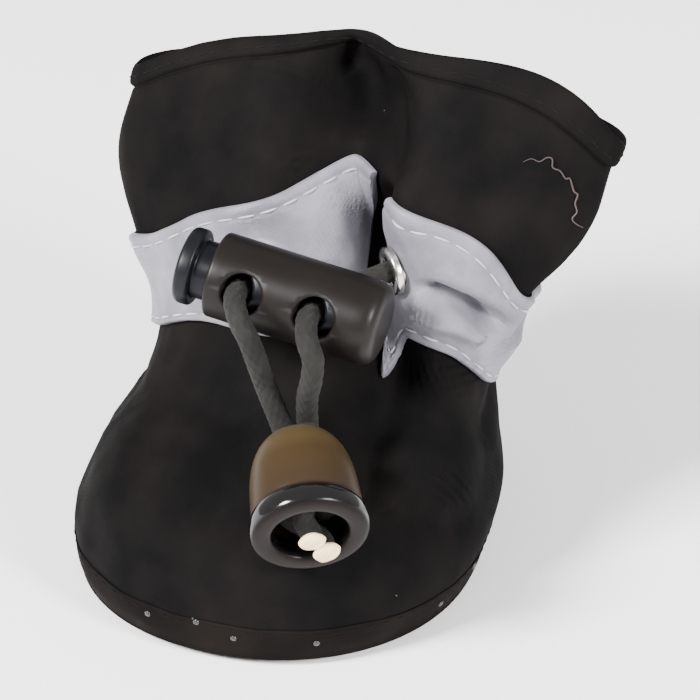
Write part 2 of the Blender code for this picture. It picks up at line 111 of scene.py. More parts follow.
# One row for each section. Columns: zone, level up the zone, drop at the sides and the back, how
# long the front stays level, width, reach to the front and the rear, widest point, depth and place
# of the front crease, lean, and squareness.
COLUMNS = "top side back brow half front rear widest crease crease_x lean square".split()
SECTIONS = {
    "feather": ("foot", 0.0, 0.0, 0.00, 2.0, 0.92, 0.945, 0.94, -0.17, 0.00, 0.60, -0.20, 2.1),
    "turn": ("foot", 0.075, 0.0, 0.00, 2.0, 0.965, 0.985, 0.99, -0.17, 0.00, 0.60, -0.18, 2.1),
    "bulge": ("foot", 0.23, 0.0, 0.00, 2.0, 0.985, 1.00, 1.00, -0.17, 0.03, 0.60, -0.06, 2.1),
    "vamp_low": ("foot", 0.45, 0.05, 0.00, 2.0, 0.925, 0.97, 0.98, -0.10, 0.12, 0.58, 0.03, 2.1),
    "vamp_mid": ("foot", 0.63, 0.17, 0.09, 2.0, 0.88, 0.80, 0.94, 0.00, 0.28, 0.55, 0.08, 2.1),
    "throat": ("foot", 0.82, 0.32, 0.19, 2.2, 0.83, 0.52, 0.89, 0.12, 0.55, 0.50, 0.15, 2.1),
    "band_low": ("ankle", 0.06, 0.46, 0.38, 4.0, 1.00, 0.97, 1.00, -0.27, 0.90, 0.44, 0.23, 2.1),
    "cord_line": ("ankle", 0.50, 0.68, 0.62, 2.8, 1.04, 0.86, 0.89, -0.24, 1.00, 0.38, 0.30, 2.1),
    "band_high": ("ankle", 1.0, 0.92, 0.70, 2.2, 1.20, 0.74, 0.89, -0.20, 1.00, 0.22, 0.30, 2.2),
    "shaft": ("collar", 0.42, 0.82, 0.68, 2.9, 0.99, 2.00, 1.56, -0.68, 0.95, 0.12, 0.44, 2.3),
    "hem_seam": ("collar", 0.84, 0.66, 0.62, 3.3, 1.00, 1.25, 1.20, -0.40, 0.55, 0.07, 0.76, 2.4),
    "hem_top": ("collar", 0.95, 0.58, 0.57, 3.6, 1.00, 0.95, 1.00, -0.28, 0.42, 0.06, 0.90, 2.5),
}
STATION = {name: number for number, name in enumerate(SECTIONS)}


def sizes_of_row(row):
    width, length, set_back, base, height = [size * MM for size in ZONES[row[0]]]
    level, side, back, brow, wide, front, rear, widest, crease, crease_x, lean, square = row[1:]
    top = base + level * height
    return (
        top,
        top - side * SIDE_DROP,
        top - back * SIDE_DROP,
        brow,
        wide * width / 2,
        set_back - front * length / 2,
        set_back + rear * length / 2,
        set_back + widest * length / 2,
        crease * CREASE_DEPTH,
        crease_x * width / 2,
        lean * SHAFT_LEAN,
        square,
    )


ROWS = np.array([sizes_of_row(row) for row in SECTIONS.values()])
print(len(ROWS), "sections of", len(COLUMNS), "sizes")


# %% The surface of the last
def row_at(t):
    """The sizes at station t, from a smooth curve through the rows."""
    t = np.clip(t, 0, len(ROWS) - 1)
    first = np.minimum(np.floor(t).astype(int), len(ROWS) - 2)
    before = ROWS[np.maximum(first - 1, 0)]
    here, after = ROWS[first], ROWS[first + 1]
    beyond = ROWS[np.minimum(first + 2, len(ROWS) - 1)]
    f = (t - first)[..., None]
    rise_here, rise_after = (after - before) / 2, (beyond - here) / 2
    row = (
        here * (2 * f**3 - 3 * f**2 + 1)
        + rise_here * (f**3 - 2 * f**2 + f)
        + after * (3 * f**2 - 2 * f**3)
        + rise_after * (f**3 - f**2)
    )
    return np.moveaxis(row, -1, 0)


def last_surface(phi, t):
    """Points of the last: phi is the angle from the toe towards +X, and t is the station."""
    phi, t = np.broadcast_arrays(np.asarray(phi, float), np.asarray(t, float))
    top, side, back, brow, half, front, rear, widest, crease, crease_x, lean, square = row_at(t)
    across, along = np.sin(phi), np.cos(phi)
    square = square - np.where(along < 0, HEEL_TAPER, 0)
    round_out = (np.abs(across) ** square + np.abs(along) ** square) ** (-1 / square)
    x = half * round_out * across
    reach = np.where(along > 0, widest - front, rear - widest)
    y = widest - reach * round_out * along
    from_crease = x + lean - crease_x
    fade = np.clip(along / CREASE_FADE, 0, 1)
    y = y + crease * np.exp(-((from_crease / CREASE_WIDTH) ** 2)) * fade**2 * (3 - 2 * fade)
    to_edge = np.where(from_crease > 0, half + lean - crease_x, half - lean + crease_x)
    share = np.clip(np.abs(from_crease) / to_edge, 0, 1)
    brow = brow * np.where(from_crease > 0, BROW_LEFT_SHARE, 1 / BROW_LEFT_SHARE)
    level = 1 - share**brow
    z = np.where(along > 0, side + (top - side) * level, side + (back - side) * along**2)
    return np.stack([x + lean, y, z], axis=-1)


def normals_of_last(phi, t):
    step = 1e-3
    low, high = np.maximum(t - step, 0), np.minimum(t + step, len(ROWS) - 1)
    round_it = last_surface(phi + step, t) - last_surface(phi - step, t)
    up_it = last_surface(phi, high) - last_surface(phi, low)
    normal = np.cross(round_it, up_it)
    return normal / np.linalg.norm(normal, axis=-1, keepdims=True)


def skin(phi, t, offset=0.0):
    """The last's surface moved out by offset, and its normals."""
    phi, t, offset = np.broadcast_arrays(phi, t, offset)
    normal = normals_of_last(phi, t)
    return last_surface(phi, t) + offset[..., None] * normal, normal


def front_angle(t, x):
    """The angle at which station t crosses the upright plane at x, on the front."""
    low, high = -math.pi / 2, math.pi / 2
    for _ in range(30):
        middle = (low + high) / 2
        if last_surface(middle, t)[0] < x:
            low = middle
        else:
            high = middle
    return middle


def crease_angle(t):
    row = dict(zip(COLUMNS, row_at(np.array(float(t)))))
    return front_angle(float(t), row["crease_x"] + row["lean"])


print("toe at", np.round(last_surface(0.0, 2.0) / MM, 1), "mm")

# %% [markdown]
# ## Where the metal and plastic pieces sit
# The eyelets, the lock and the bell each get a frame of their own: a matrix that says where the
# piece is and which way it points. A turned piece is then made once, standing on its own Z axis,
# and its matrix puts it in place. The sizes repeat those of the CAD model.

# %% Frames of the eyelets, the lock and the bell
EYELET_X = {"left": 13.0 * MM, "right": -2.5 * MM}
EYELET_THICKNESS = 0.8 * MM
LOCK_RADIUS = 5.1 * MM
LOCK_LENGTH = 20.8 * MM
LOCK_HOLE = 2.4 * MM
LOCK_HOLE_PITCH = 9.0 * MM
LOCK_MOUTH_MARGIN = 2.2 * MM
LOCK_TILT = math.radians(8.5)
LOCK_HOLE_RISE = math.radians(15)
LOCK_STAND_OFF = 0.9 * MM
BUTTON_OFFSET = 1.6 * MM
BELL_LENGTH = 13.4 * MM
BELL_AT = Vector((12.7, -32.8, 22.0)) * MM
BELL_YAW = math.radians(27)
BELL_DIP = math.radians(22)


def frame_at(origin, z_axis, x_hint):
    """A placing whose Z axis is z_axis and whose X axis is as near x_hint as it can be."""
    z = Vector(z_axis).normalized()
    x = Vector(x_hint)
    x = (x - z * x.dot(z)).normalized()
    matrix = Matrix((x, z.cross(x), z)).transposed().to_4x4()
    matrix.translation = Vector(origin)
    return matrix


eyelets = {}
for side, x in EYELET_X.items():
    t = float(STATION["cord_line"])
    point, normal = skin(front_angle(t, x), t, GAP + BAND_THICKNESS)
    eyelets[side] = frame_at(point, normal, (0, 0, 1))

LOCK_FRONT = -6.97 * MM
lock = frame_at(
    (4.2 * MM, LOCK_FRONT - LOCK_STAND_OFF - LOCK_RADIUS, 40.8 * MM),
    (math.cos(LOCK_TILT), 0, -math.sin(LOCK_TILT)),
    (0, -math.cos(LOCK_HOLE_RISE), math.sin(LOCK_HOLE_RISE)),
)
first_hole = -LOCK_LENGTH / 2 + LOCK_MOUTH_MARGIN + LOCK_HOLE
hole_heights = {"right": first_hole, "left": first_hole + LOCK_HOLE_PITCH}
bell_mouth = Vector(
    (
        math.cos(BELL_DIP) * math.sin(BELL_YAW),
        -math.cos(BELL_DIP) * math.cos(BELL_YAW),
        -math.sin(BELL_DIP),
    )
)
bell = frame_at(BELL_AT, -bell_mouth, (1, 0, 0))
for name, matrix in (("lock", lock), ("bell", bell), *eyelets.items()):
    print(name, "at", [round(x / MM, 2) for x in matrix.translation])

# %% [markdown]
# ## Finishes as node groups
# Cloth, tape, elastic and plastic share a few effects: a weave, uneven dye, lint, rubbed edges and a
# fine grain. Each effect could be rebuilt in every material, but then a change would have to be made
# many times. So each is one node group with named inputs, and the materials only choose values.
# Groups give out masks, colours and heights that vary, and the shader itself stays in the material.


# %% Helpers for node trees
def new_group(name, inputs, outputs):
    """A shader node group. inputs are (name, type, value) and outputs are (name, type)."""
    tree = bpy.data.node_groups.new(name, "ShaderNodeTree")
    for socket, kind, value in inputs:
        made = tree.interface.new_socket(socket, in_out="INPUT", socket_type="NodeSocket" + kind)
        made.default_value = value
    for socket, kind in outputs:
        tree.interface.new_socket(socket, in_out="OUTPUT", socket_type="NodeSocket" + kind)
    return tree, tree.nodes.new("NodeGroupInput"), tree.nodes.new("NodeGroupOutput")


def add(tree, kind, sockets=(), **settings):
    """A node with its settings, and its input sockets set to values or linked to other sockets."""
    node = tree.nodes.new("ShaderNode" + kind)
    for setting, value in settings.items():
        setattr(node, setting, value)
    for socket, source in dict(sockets).items():
        if isinstance(source, bpy.types.NodeSocket):
            tree.links.new(source, node.inputs[socket])
        else:
            node.inputs[socket].default_value = source
    return node


def calc(tree, operation, *values):
    """The output of a Math node."""
    return add(tree, "Math", enumerate(values), operation=operation).outputs[0]


def placed(tree, group, **sockets):
    """A group placed in a material. Underscores in the socket names stand for spaces."""
    node = add(tree, "Group", node_tree=bpy.data.node_groups[group])
    for socket, source in sockets.items():
        target = node.inputs[socket.replace("_", " ")]
        if isinstance(source, bpy.types.NodeSocket):
            tree.links.new(source, target)
        else:
            target.default_value = source
    return node


# %% The weave group
CLOTH_MAP = "cloth"
weave, weave_in, weave_out = new_group(
    "plain weave",
    [("Threads per mm", "Float", 3.0), ("Looseness", "Float", 0.1)],
    [("Height", "Float")],
)
cloth_map = add(weave, "UVMap", uv_map=CLOTH_MAP)
wander = add(weave, "TexNoise", {"Vector": cloth_map.outputs[0], "Scale": 400.0, "Detail": 1.0})
per_metre = calc(weave, "MULTIPLY", weave_in.outputs[0], 1000.0)
threads = add(
    weave, "VectorMath", {0: cloth_map.outputs[0], "Scale": per_metre}, operation="SCALE"
)
shift = add(
    weave,
    "VectorMath",
    {0: wander.outputs["Color"], "Scale": weave_in.outputs[1]},
    operation="SCALE",
)
moved = add(weave, "VectorMath", {0: threads.outputs[0], 1: shift.outputs[0]}, operation="ADD")
axes = add(weave, "SeparateXYZ", {0: moved.outputs[0]})
over = add(weave, "TexChecker", {"Vector": moved.outputs[0], "Scale": 1.0})
warp = calc(weave, "ABSOLUTE", calc(weave, "SINE", calc(weave, "MULTIPLY", axes.outputs[0], math.pi)))
weft = calc(weave, "ABSOLUTE", calc(weave, "SINE", calc(weave, "MULTIPLY", axes.outputs[1], math.pi)))
warp_up = calc(weave, "MULTIPLY", warp, calc(weave, "MULTIPLY_ADD", weft, 0.5, 0.5))
weft_up = calc(weave, "MULTIPLY", weft, calc(weave, "MULTIPLY_ADD", warp, 0.5, 0.5))
height = add(weave, "Mix", {"Factor": over.outputs["Fac"], "A": warp_up, "B": weft_up})
weave.links.new(height.outputs["Result"], weave_out.inputs["Height"])

# %% The uneven dye, lint, rubbed edge and grain groups
dye, dye_in, dye_out = new_group(
    "uneven dye",
    [
        ("Colour", "Color", (0.02, 0.02, 0.02, 1)),
        ("Faded", "Color", (0.03, 0.03, 0.03, 1)),
        ("Patch mm", "Float", 12.0),
    ],
    [("Colour", "Color"), ("Mask", "Float")],
)
here = add(dye, "TexCoord")
scale = calc(dye, "DIVIDE", 1000.0, dye_in.outputs["Patch mm"])
patches = add(
    dye, "TexNoise", {"Vector": here.outputs["Object"], "Scale": scale, "Detail": 4.0}
)
spread = add(
    dye, "MapRange", {"Value": patches.outputs["Fac"], "From Min": 0.35, "From Max": 0.7}
)
mixed = add(
    dye,
    "Mix",
    {"Factor": spread.outputs[0], "A": dye_in.outputs["Colour"], "B": dye_in.outputs["Faded"]},
    data_type="RGBA",
)
dye.links.new(mixed.outputs["Result"], dye_out.inputs["Colour"])
dye.links.new(spread.outputs[0], dye_out.inputs["Mask"])

lint, lint_in, lint_out = new_group(
    "lint", [("Spacing mm", "Float", 2.0), ("Share", "Float", 0.15)], [("Mask", "Float")]
)
here = add(lint, "TexCoord")
scale = calc(lint, "DIVIDE", 1000.0, lint_in.outputs["Spacing mm"])
bent = add(lint, "TexNoise", {"Vector": here.outputs["Object"], "Scale": 900.0, "Detail": 1.0})
nudge = add(lint, "VectorMath", {0: bent.outputs["Color"], "Scale": 0.0009}, operation="SCALE")
near = add(lint, "VectorMath", {0: here.outputs["Object"], 1: nudge.outputs[0]}, operation="ADD")
specks = add(lint, "TexVoronoi", {"Vector": near.outputs[0], "Scale": scale})
small = calc(lint, "LESS_THAN", specks.outputs["Distance"], 0.055)
pick = add(lint, "SeparateColor", {0: specks.outputs["Color"]})
chosen = calc(lint, "LESS_THAN", pick.outputs[0], lint_in.outputs["Share"])
lint.links.new(calc(lint, "MULTIPLY", small, chosen), lint_out.inputs["Mask"])

rubbed, rubbed_in, rubbed_out = new_group(
    "rubbed edges", [("Reach", "Float", 0.06), ("Patch mm", "Float", 1.5)], [("Mask", "Float")]
)
shape = add(rubbed, "NewGeometry")
here = add(rubbed, "TexCoord")
scale = calc(rubbed, "DIVIDE", 1000.0, rubbed_in.outputs["Patch mm"])
worn = add(rubbed, "TexNoise", {"Vector": here.outputs["Object"], "Scale": scale, "Detail": 3.0})
ridge = calc(rubbed, "SUBTRACT", shape.outputs["Pointiness"], 0.5)
edge = add(
    rubbed,
    "MapRange",
    {"Value": ridge, "From Min": 0.01, "From Max": rubbed_in.outputs["Reach"]},
)
mask = calc(rubbed, "MULTIPLY", edge.outputs[0], worn.outputs["Fac"])
rubbed.links.new(mask, rubbed_out.inputs["Mask"])

grain, grain_in, grain_out = new_group(
    "fine grain",
    [("Size mm", "Float", 0.3), ("Rough low", "Float", 0.3), ("Rough high", "Float", 0.5)],
    [("Height", "Float"), ("Roughness", "Float")],
)
here = add(grain, "TexCoord")
scale = calc(grain, "DIVIDE", 1000.0, grain_in.outputs["Size mm"])
fine = add(grain, "TexNoise", {"Vector": here.outputs["Object"], "Scale": scale, "Detail": 2.0})
broad = add(grain, "TexNoise", {"Vector": here.outputs["Object"], "Scale": 180.0, "Detail": 3.0})
rough = add(
    grain,
    "MapRange",
    {
        "Value": broad.outputs["Fac"],
        "From Min": 0.3,
        "From Max": 0.7,
        "To Min": grain_in.outputs["Rough low"],
        "To Max": grain_in.outputs["Rough high"],
    },
)
grain.links.new(fine.outputs["Fac"], grain_out.inputs["Height"])
grain.links.new(rough.outputs[0], grain_out.inputs["Roughness"])
print("finish groups:", [tree.name for tree in bpy.data.node_groups])

# %% [markdown]
# ## The materials
# The outer cloth is a thin black polyester with hardly any shine. The band is a silver-grey reflective
# tape: tiny glass beads under a film make it pale, and their sparkle is painted on as paler specks.
# Every finish here starts from a Principled shader, and groups give it the small changes over the
# surface that make it read as cloth, plastic or metal from close up.


# %% Helpers for materials
def new_material(name, **sockets):
    """A material with one Principled shader, whose sockets are set by name."""
    made = bpy.data.materials.new(name)
    made.use_nodes = True
    shader = made.node_tree.nodes["Principled BSDF"]
    for socket, value in sockets.items():
        shader.inputs[socket.replace("_", " ")].default_value = value
    return made, made.node_tree, shader


def bump(tree, shader, height, depth, normal=None):
    """A Bump node that raises the surface by depth metres where height is 1."""
    node = add(tree, "Bump", {"Strength": 1.0, "Distance": depth, "Height": height})
    if normal:
        tree.links.new(normal, node.inputs["Normal"])
    tree.links.new(node.outputs[0], shader.inputs["Normal"])
    return node.outputs[0]


def mix_colour(tree, mask, below, above):
    sockets = {"Factor": mask, "A": below, "B": above}
    return add(tree, "Mix", sockets, data_type="RGBA").outputs["Result"]


def dyed_cloth(name, colour, faded, rough, threads_per_mm, thread_depth, lint_share, sheen):
    """A woven cloth: uneven dye, a little lint, a weave and a broken-up shine."""
    made, tree, shader = new_material(
        name, Sheen_Weight=sheen, Sheen_Roughness=0.5, IOR=1.15, Specular_IOR_Level=0.1
    )
    tone = placed(tree, "uneven dye", Colour=(*colour, 1), Faded=(*faded, 1), Patch_mm=9.0)
    specks = placed(tree, "lint", Spacing_mm=2.2, Share=lint_share)
    pale = (0.06, 0.057, 0.055, 1)
    colour_out = mix_colour(tree, specks.outputs[0], tone.outputs["Colour"], pale)
    tree.links.new(colour_out, shader.inputs["Base Color"])
    broken = placed(
        tree, "fine grain", Size_mm=0.25, Rough_low=rough - 0.08, Rough_high=rough + 0.1
    )
    tree.links.new(broken.outputs["Roughness"], shader.inputs["Roughness"])
    woven = placed(tree, "plain weave", Threads_per_mm=threads_per_mm, Looseness=0.25)
    first = bump(tree, shader, woven.outputs[0], thread_depth)
    bump(tree, shader, broken.outputs["Height"], thread_depth / 2, first)
    return made


# %% Cloth, lining, sole and thread
LOOK = {
    "black_cloth": dyed_cloth(
        "black_cloth", (0.0034, 0.0032, 0.0033), (0.0062, 0.0054, 0.0050), 0.66, 3.2, 1.2e-5, 0.04, 0.0
    ),
    "lining": dyed_cloth(
        "lining", (0.012, 0.012, 0.013), (0.018, 0.0175, 0.018), 0.8, 2.6, 7e-5, 0.10, 0.05
    ),
    "sole_cloth": dyed_cloth(
        "sole_cloth", (0.0040, 0.0034, 0.0032), (0.0074, 0.0058, 0.0051), 0.65, 3.0, 1.2e-5, 0.05, 0.0
    ),
    "insole_cloth": dyed_cloth(
        "insole_cloth", (0.018, 0.018, 0.019), (0.026, 0.0255, 0.026), 0.85, 2.2, 9e-5, 0.10, 0.08
    ),
    "tape_thread": dyed_cloth(
        "tape_thread", (0.30, 0.29, 0.325), (0.40, 0.39, 0.42), 0.5, 6.0, 2e-5, 0.0, 0.0
    ),
    "black_thread": dyed_cloth(
        "black_thread", (0.004, 0.004, 0.004), (0.007, 0.0065, 0.0065), 0.6, 6.0, 2e-5, 0.0, 0.02
    ),
    "loose_thread": dyed_cloth(
        "loose_thread", (0.040, 0.031, 0.029), (0.075, 0.058, 0.055), 0.6, 6.0, 1e-5, 0.0, 0.0
    ),
}

# %% The reflective tape
tape, tree, shader = new_material("silver_tape", Specular_IOR_Level=0.35, Sheen_Weight=0.05)
tone = placed(
    tree,
    "uneven dye",
    Colour=(0.112, 0.106, 0.128, 1),
    Faded=(0.180, 0.173, 0.198, 1),
    Patch_mm=5.5,
)
beads = add(
    tree, "TexVoronoi", {"Vector": add(tree, "TexCoord").outputs["Object"], "Scale": 7000.0}
)
# Paler specks where the glass beads lie: painted glints that stand for the beads' sparkle.
painted_glint_mask = calc(tree, "LESS_THAN", beads.outputs["Distance"], 0.2)
painted_glint_colour = (0.30, 0.295, 0.325, 1)
colour = mix_colour(tree, calc(tree, "MULTIPLY", painted_glint_mask, 0.25), tone.outputs["Colour"], painted_glint_colour)
scuffs = placed(tree, "lint", Spacing_mm=3.6, Share=0.3)
colour = mix_colour(tree, scuffs.outputs[0], colour, (0.10, 0.095, 0.105, 1))
tree.links.new(colour, shader.inputs["Base Color"])
film = placed(tree, "fine grain", Size_mm=0.18, Rough_low=0.42, Rough_high=0.58)
tree.links.new(film.outputs["Roughness"], shader.inputs["Roughness"])
woven = placed(tree, "plain weave", Threads_per_mm=4.0, Looseness=0.15)
first = bump(tree, shader, woven.outputs[0], 1.5e-5)
bump(tree, shader, film.outputs["Height"], 1.2e-5, first)
LOOK["silver_tape"] = tape

# %% The elastic and its cut rubber core
elastic, tree, shader = new_material("black_elastic", Sheen_Weight=0.04, IOR=1.2)
tone = placed(
    tree,
    "uneven dye",
    Colour=(0.0075, 0.0071, 0.0062, 1),
    Faded=(0.0135, 0.0128, 0.0110, 1),
    Patch_mm=3.0,
)
fluff = placed(tree, "lint", Spacing_mm=1.2, Share=0.2)
colour = mix_colour(tree, fluff.outputs[0], tone.outputs["Colour"], (0.045, 0.042, 0.039, 1))
tree.links.new(colour, shader.inputs["Base Color"])
yarn = placed(tree, "fine grain", Size_mm=0.12, Rough_low=0.6, Rough_high=0.8)
tree.links.new(yarn.outputs["Roughness"], shader.inputs["Roughness"])
fibres = placed(tree, "plain weave", Threads_per_mm=7.0, Looseness=0.4)
first = bump(tree, shader, fibres.outputs[0], 3e-5)
bump(tree, shader, yarn.outputs["Height"], 2e-5, first)
LOOK["elastic"] = elastic

core, tree, shader = new_material("rubber_core", Subsurface_Weight=0.3, Subsurface_Scale=0.0006)
tone = placed(
    tree,
    "uneven dye",
    Colour=(0.80, 0.60, 0.33, 1),
    Faded=(0.90, 0.72, 0.44, 1),
    Patch_mm=0.8,
)
tree.links.new(tone.outputs["Colour"], shader.inputs["Base Color"])
cut_face = placed(tree, "fine grain", Size_mm=0.2, Rough_low=0.35, Rough_high=0.55)
tree.links.new(cut_face.outputs["Roughness"], shader.inputs["Roughness"])
bump(tree, shader, cut_face.outputs["Height"], 6e-5)
LOOK["rubber_core"] = core

# %% Steel, moulded plastic and rubber dots


def moulded(name, colour, scuffed, low, high, grain_mm, depth, **sockets):
    """A moulded or plated finish: a fine grain, a patchy shine and paler rubbed edges."""
    made, tree, shader = new_material(name, **sockets)
    wear = placed(tree, "rubbed edges", Reach=0.12, Patch_mm=1.6)
    toned = mix_colour(tree, wear.outputs[0], (*colour, 1), (*scuffed, 1))
    tree.links.new(toned, shader.inputs["Base Color"])
    surface = placed(tree, "fine grain", Size_mm=grain_mm, Rough_low=low, Rough_high=high)
    tree.links.new(surface.outputs["Roughness"], shader.inputs["Roughness"])
    bump(tree, shader, surface.outputs["Height"], depth)
    return made


LOOK["steel"] = moulded(
    "bright_steel", (0.62, 0.60, 0.56), (0.78, 0.77, 0.74), 0.12, 0.28, 0.5, 4e-6, Metallic=1.0
)
LOOK["lock_plastic"] = moulded(
    "black_plastic",
    (0.0060, 0.0047, 0.0041),
    (0.024, 0.022, 0.020),
    0.32,
    0.46,
    0.12,
    6e-6,
    IOR=1.22,
)
LOOK["button_plastic"] = moulded(
    "button_plastic",
    (0.0036, 0.0037, 0.0052),
    (0.018, 0.018, 0.022),
    0.3,
    0.44,
    0.12,
    6e-6,
    IOR=1.22,
)
LOOK["rubber"] = moulded(
    "rubber_dots", (0.006, 0.0055, 0.0052), (0.02, 0.02, 0.02), 0.14, 0.26, 0.3, 5e-6
)

# %% The smoke-brown bell
smoke, tree, shader = new_material(
    "smoke_plastic", Transmission_Weight=0.12
)
along = add(tree, "SeparateXYZ", {0: add(tree, "TexCoord").outputs["Object"]})
share = calc(tree, "DIVIDE", along.outputs[2], BELL_LENGTH)
bands = add(tree, "ValToRGB", {"Fac": share})
bands.color_ramp.interpolation = "EASE"
# Colours up the bell, from the mouth at 0 to the neck at 1: dark at the mouth, near black across the glossy
# ring as painted shade, and lighter towards the neck.
BELL_COLOURS_WITH_PAINTED_SHADE = (
    (0.00, (0.0075, 0.0048, 0.0042)),
    (0.012, (0.0060, 0.0040, 0.0036)),
    (0.035, (0.004, 0.0037, 0.0037)),
    (0.20, (0.004, 0.0036, 0.0034)),
    (0.27, (0.026, 0.0165, 0.0090)),
    (0.60, (0.031, 0.0195, 0.0085)),
    (0.84, (0.047, 0.032, 0.0145)),
    (1.00, (0.060, 0.045, 0.029)),
)
for i, (place, colour) in enumerate(BELL_COLOURS_WITH_PAINTED_SHADE):
    stops = bands.color_ramp.elements
    stop = stops[i] if i < len(stops) else stops.new(place)
    stop.position = place
    stop.color = (*colour, 1)
tree.links.new(bands.outputs["Color"], shader.inputs["Base Color"])
gloss = placed(tree, "fine grain", Size_mm=0.6, Rough_low=0.30, Rough_high=0.44)
above = add(tree, "MapRange", {"Value": share, "From Min": 0.24, "From Max": 0.19})
below = add(tree, "MapRange", {"Value": share, "From Min": 0.02, "From Max": 0.05})
ring_mask = calc(tree, "MULTIPLY", above.outputs[0], below.outputs[0])
bend = add(tree, "Mix", {"Factor": ring_mask, "A": 1.16, "B": 1.4})
tree.links.new(bend.outputs["Result"], shader.inputs["IOR"])
shine = add(tree, "Mix", {"Factor": ring_mask, "A": gloss.outputs["Roughness"], "B": 0.09})
tree.links.new(shine.outputs["Result"], shader.inputs["Roughness"])
bump(tree, shader, gloss.outputs["Height"], 6e-6)
LOOK["smoke"] = smoke
print(len(LOOK), "materials:", ", ".join(LOOK))

# %% [markdown]
# ## Making smooth meshes from rings
# A loft joins rings of points into one skin. Blender can loft with curves and a modifier, but a
# boot's rings change shape from toe to collar, so the points are worked out here and joined
# directly. The cloth also needs a map in real millimetres, so that its weave keeps one size all
# over: that map is made from the lengths along the rings.


# %% Lofts, turned pieces and tubes
def finish(obj, body, slot, look, *replaced):
    """Gives a piece its material and the CAD body it rides on, and hides the nodes it stands for. slot is not
    used.
    """
    for one in look if isinstance(look, (list, tuple)) else [look]:
        obj.data.materials.append(LOOK[one])
    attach(obj, body)
    if replaced:
        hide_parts(*replaced)
    return obj


def lengths_along(points, axis):
    """Running length along one axis of a grid of points, averaged over the other axis."""
    step = np.linalg.norm(np.diff(points, axis=axis), axis=-1).mean(axis=1 - axis)
    return np.concatenate([[0], np.cumsum(step)])


def loft(name, rings, ends=None, around=True, slot_rows=()):
    """A mesh over an array of rings. ends is None, "cap" or "join". slot_rows are (row, material)."""
    rows, columns = rings.shape[:2]
    round_rings = np.concatenate([rings, rings[:, :1]], axis=1) if around else rings
    u, v = lengths_along(round_rings, 1), lengths_along(rings, 0)
    mesh = bpy.data.meshes.new(name)
    faces, maps, slots = [], [], []
    last_row = rows if ends == "join" else rows - 1
    last_column = columns if around else columns - 1
    v = np.append(v, v[-1] + (v[-1] - v[-2]))
    for i in range(last_row):
        slot = sum(i >= row for row, _ in slot_rows)
        base, above = i * columns, ((i + 1) % rows) * columns
        for j in range(last_column):
            k = (j + 1) % columns
            faces.append((base + j, base + k, above + k, above + j))
            maps += ((u[j], v[i]), (u[j + 1], v[i]), (u[j + 1], v[i + 1]), (u[j], v[i + 1]))
            slots.append(slot and slot_rows[slot - 1][1])
    if ends == "cap":
        for row, order in ((0, reversed(range(columns))), (rows - 1, range(columns))):
            corners = [row * columns + j for j in order]
            faces.append(corners)
            maps += [tuple(rings[row, j % columns, :2]) for j in [c % columns for c in corners]]
            slots.append(slots[0] if row == 0 else slots[-1])
    mesh.from_pydata(rings.reshape(-1, 3).tolist(), [], faces)
    layer = mesh.uv_layers.new(name=CLOTH_MAP)
    layer.data.foreach_set("uv", np.array(maps, np.float32).ravel())
    mesh.polygons.foreach_set("material_index", slots)
    mesh.shade_smooth()
    obj = bpy.data.objects.new(name, mesh)
    bpy.context.scene.collection.objects.link(obj)
    return obj


def face_out(obj):
    """Turns the faces of a closed piece to face out."""
    work = bmesh.new()
    work.from_mesh(obj.data)
    bmesh.ops.recalc_face_normals(work, faces=work.faces)
    work.to_mesh(obj.data)
    work.free()
    return obj


def settle(obj):
    """Replaces a piece's mesh by what its modifiers make of it."""
    graph = bpy.context.evaluated_depsgraph_get()
    made = bpy.data.meshes.new_from_object(obj.evaluated_get(graph))
    obj.modifiers.clear()
    obj.data = made
    return obj


def cut_out(obj, cutters):
    """Cuts each cutter out of a piece, then removes the cutters."""
    for cutter in cutters:
        bpy.context.view_layer.update()
        boolean = obj.modifiers.new("cut", "BOOLEAN")
        boolean.operation = "DIFFERENCE"
        boolean.object = cutter
        settle(obj)
        bpy.data.objects.remove(cutter)
    obj.data.shade_smooth()
    obj.data.set_sharp_from_angle(angle=math.radians(48))
    return obj


def turned(name, profile, matrix, sides=96):
    """A closed profile of (radius, height) swept round the piece's own Z axis."""
    mesh = bpy.data.meshes.new(name)
    edges = [(i, (i + 1) % len(profile)) for i in range(len(profile))]
    if profile[0][0] == profile[-1][0] == 0:
        edges.pop()
    mesh.from_pydata([(radius, 0, height) for radius, height in profile], edges, [])
    obj = bpy.data.objects.new(name, mesh)
    bpy.context.scene.collection.objects.link(obj)
    obj.matrix_world = matrix
    screw = obj.modifiers.new("sweep", "SCREW")
    screw.steps = screw.render_steps = sides
    screw.use_merge_vertices = True
    screw.merge_threshold = 1e-6
    settle(obj)
    face_out(obj)
    obj.data.shade_smooth()
    obj.data.set_sharp_from_angle(angle=math.radians(50))
    return obj


def rounded(corners, radius, points=4):
    """A profile with its corners rounded. corners are (radius, height) or (radius, height, round)."""
    line = []
    for i, corner in enumerate(corners):
        here = np.array(corner[:2], float)
        size = corner[2] if len(corner) > 2 else radius
        before = np.array(corners[i - 1][:2], float)
        after = np.array(corners[(i + 1) % len(corners)][:2], float)
        if size == 0:
            line.append(tuple(here))
            continue
        a, b = before - here, after - here
        cut = min(size, np.linalg.norm(a) / 2, np.linalg.norm(b) / 2)
        start = here + a / np.linalg.norm(a) * cut
        end = here + b / np.linalg.norm(b) * cut
        for f in np.linspace(0, 1, points):
            line.append(tuple(start * (1 - f) ** 2 + here * 2 * f * (1 - f) + end * f**2))
    return line


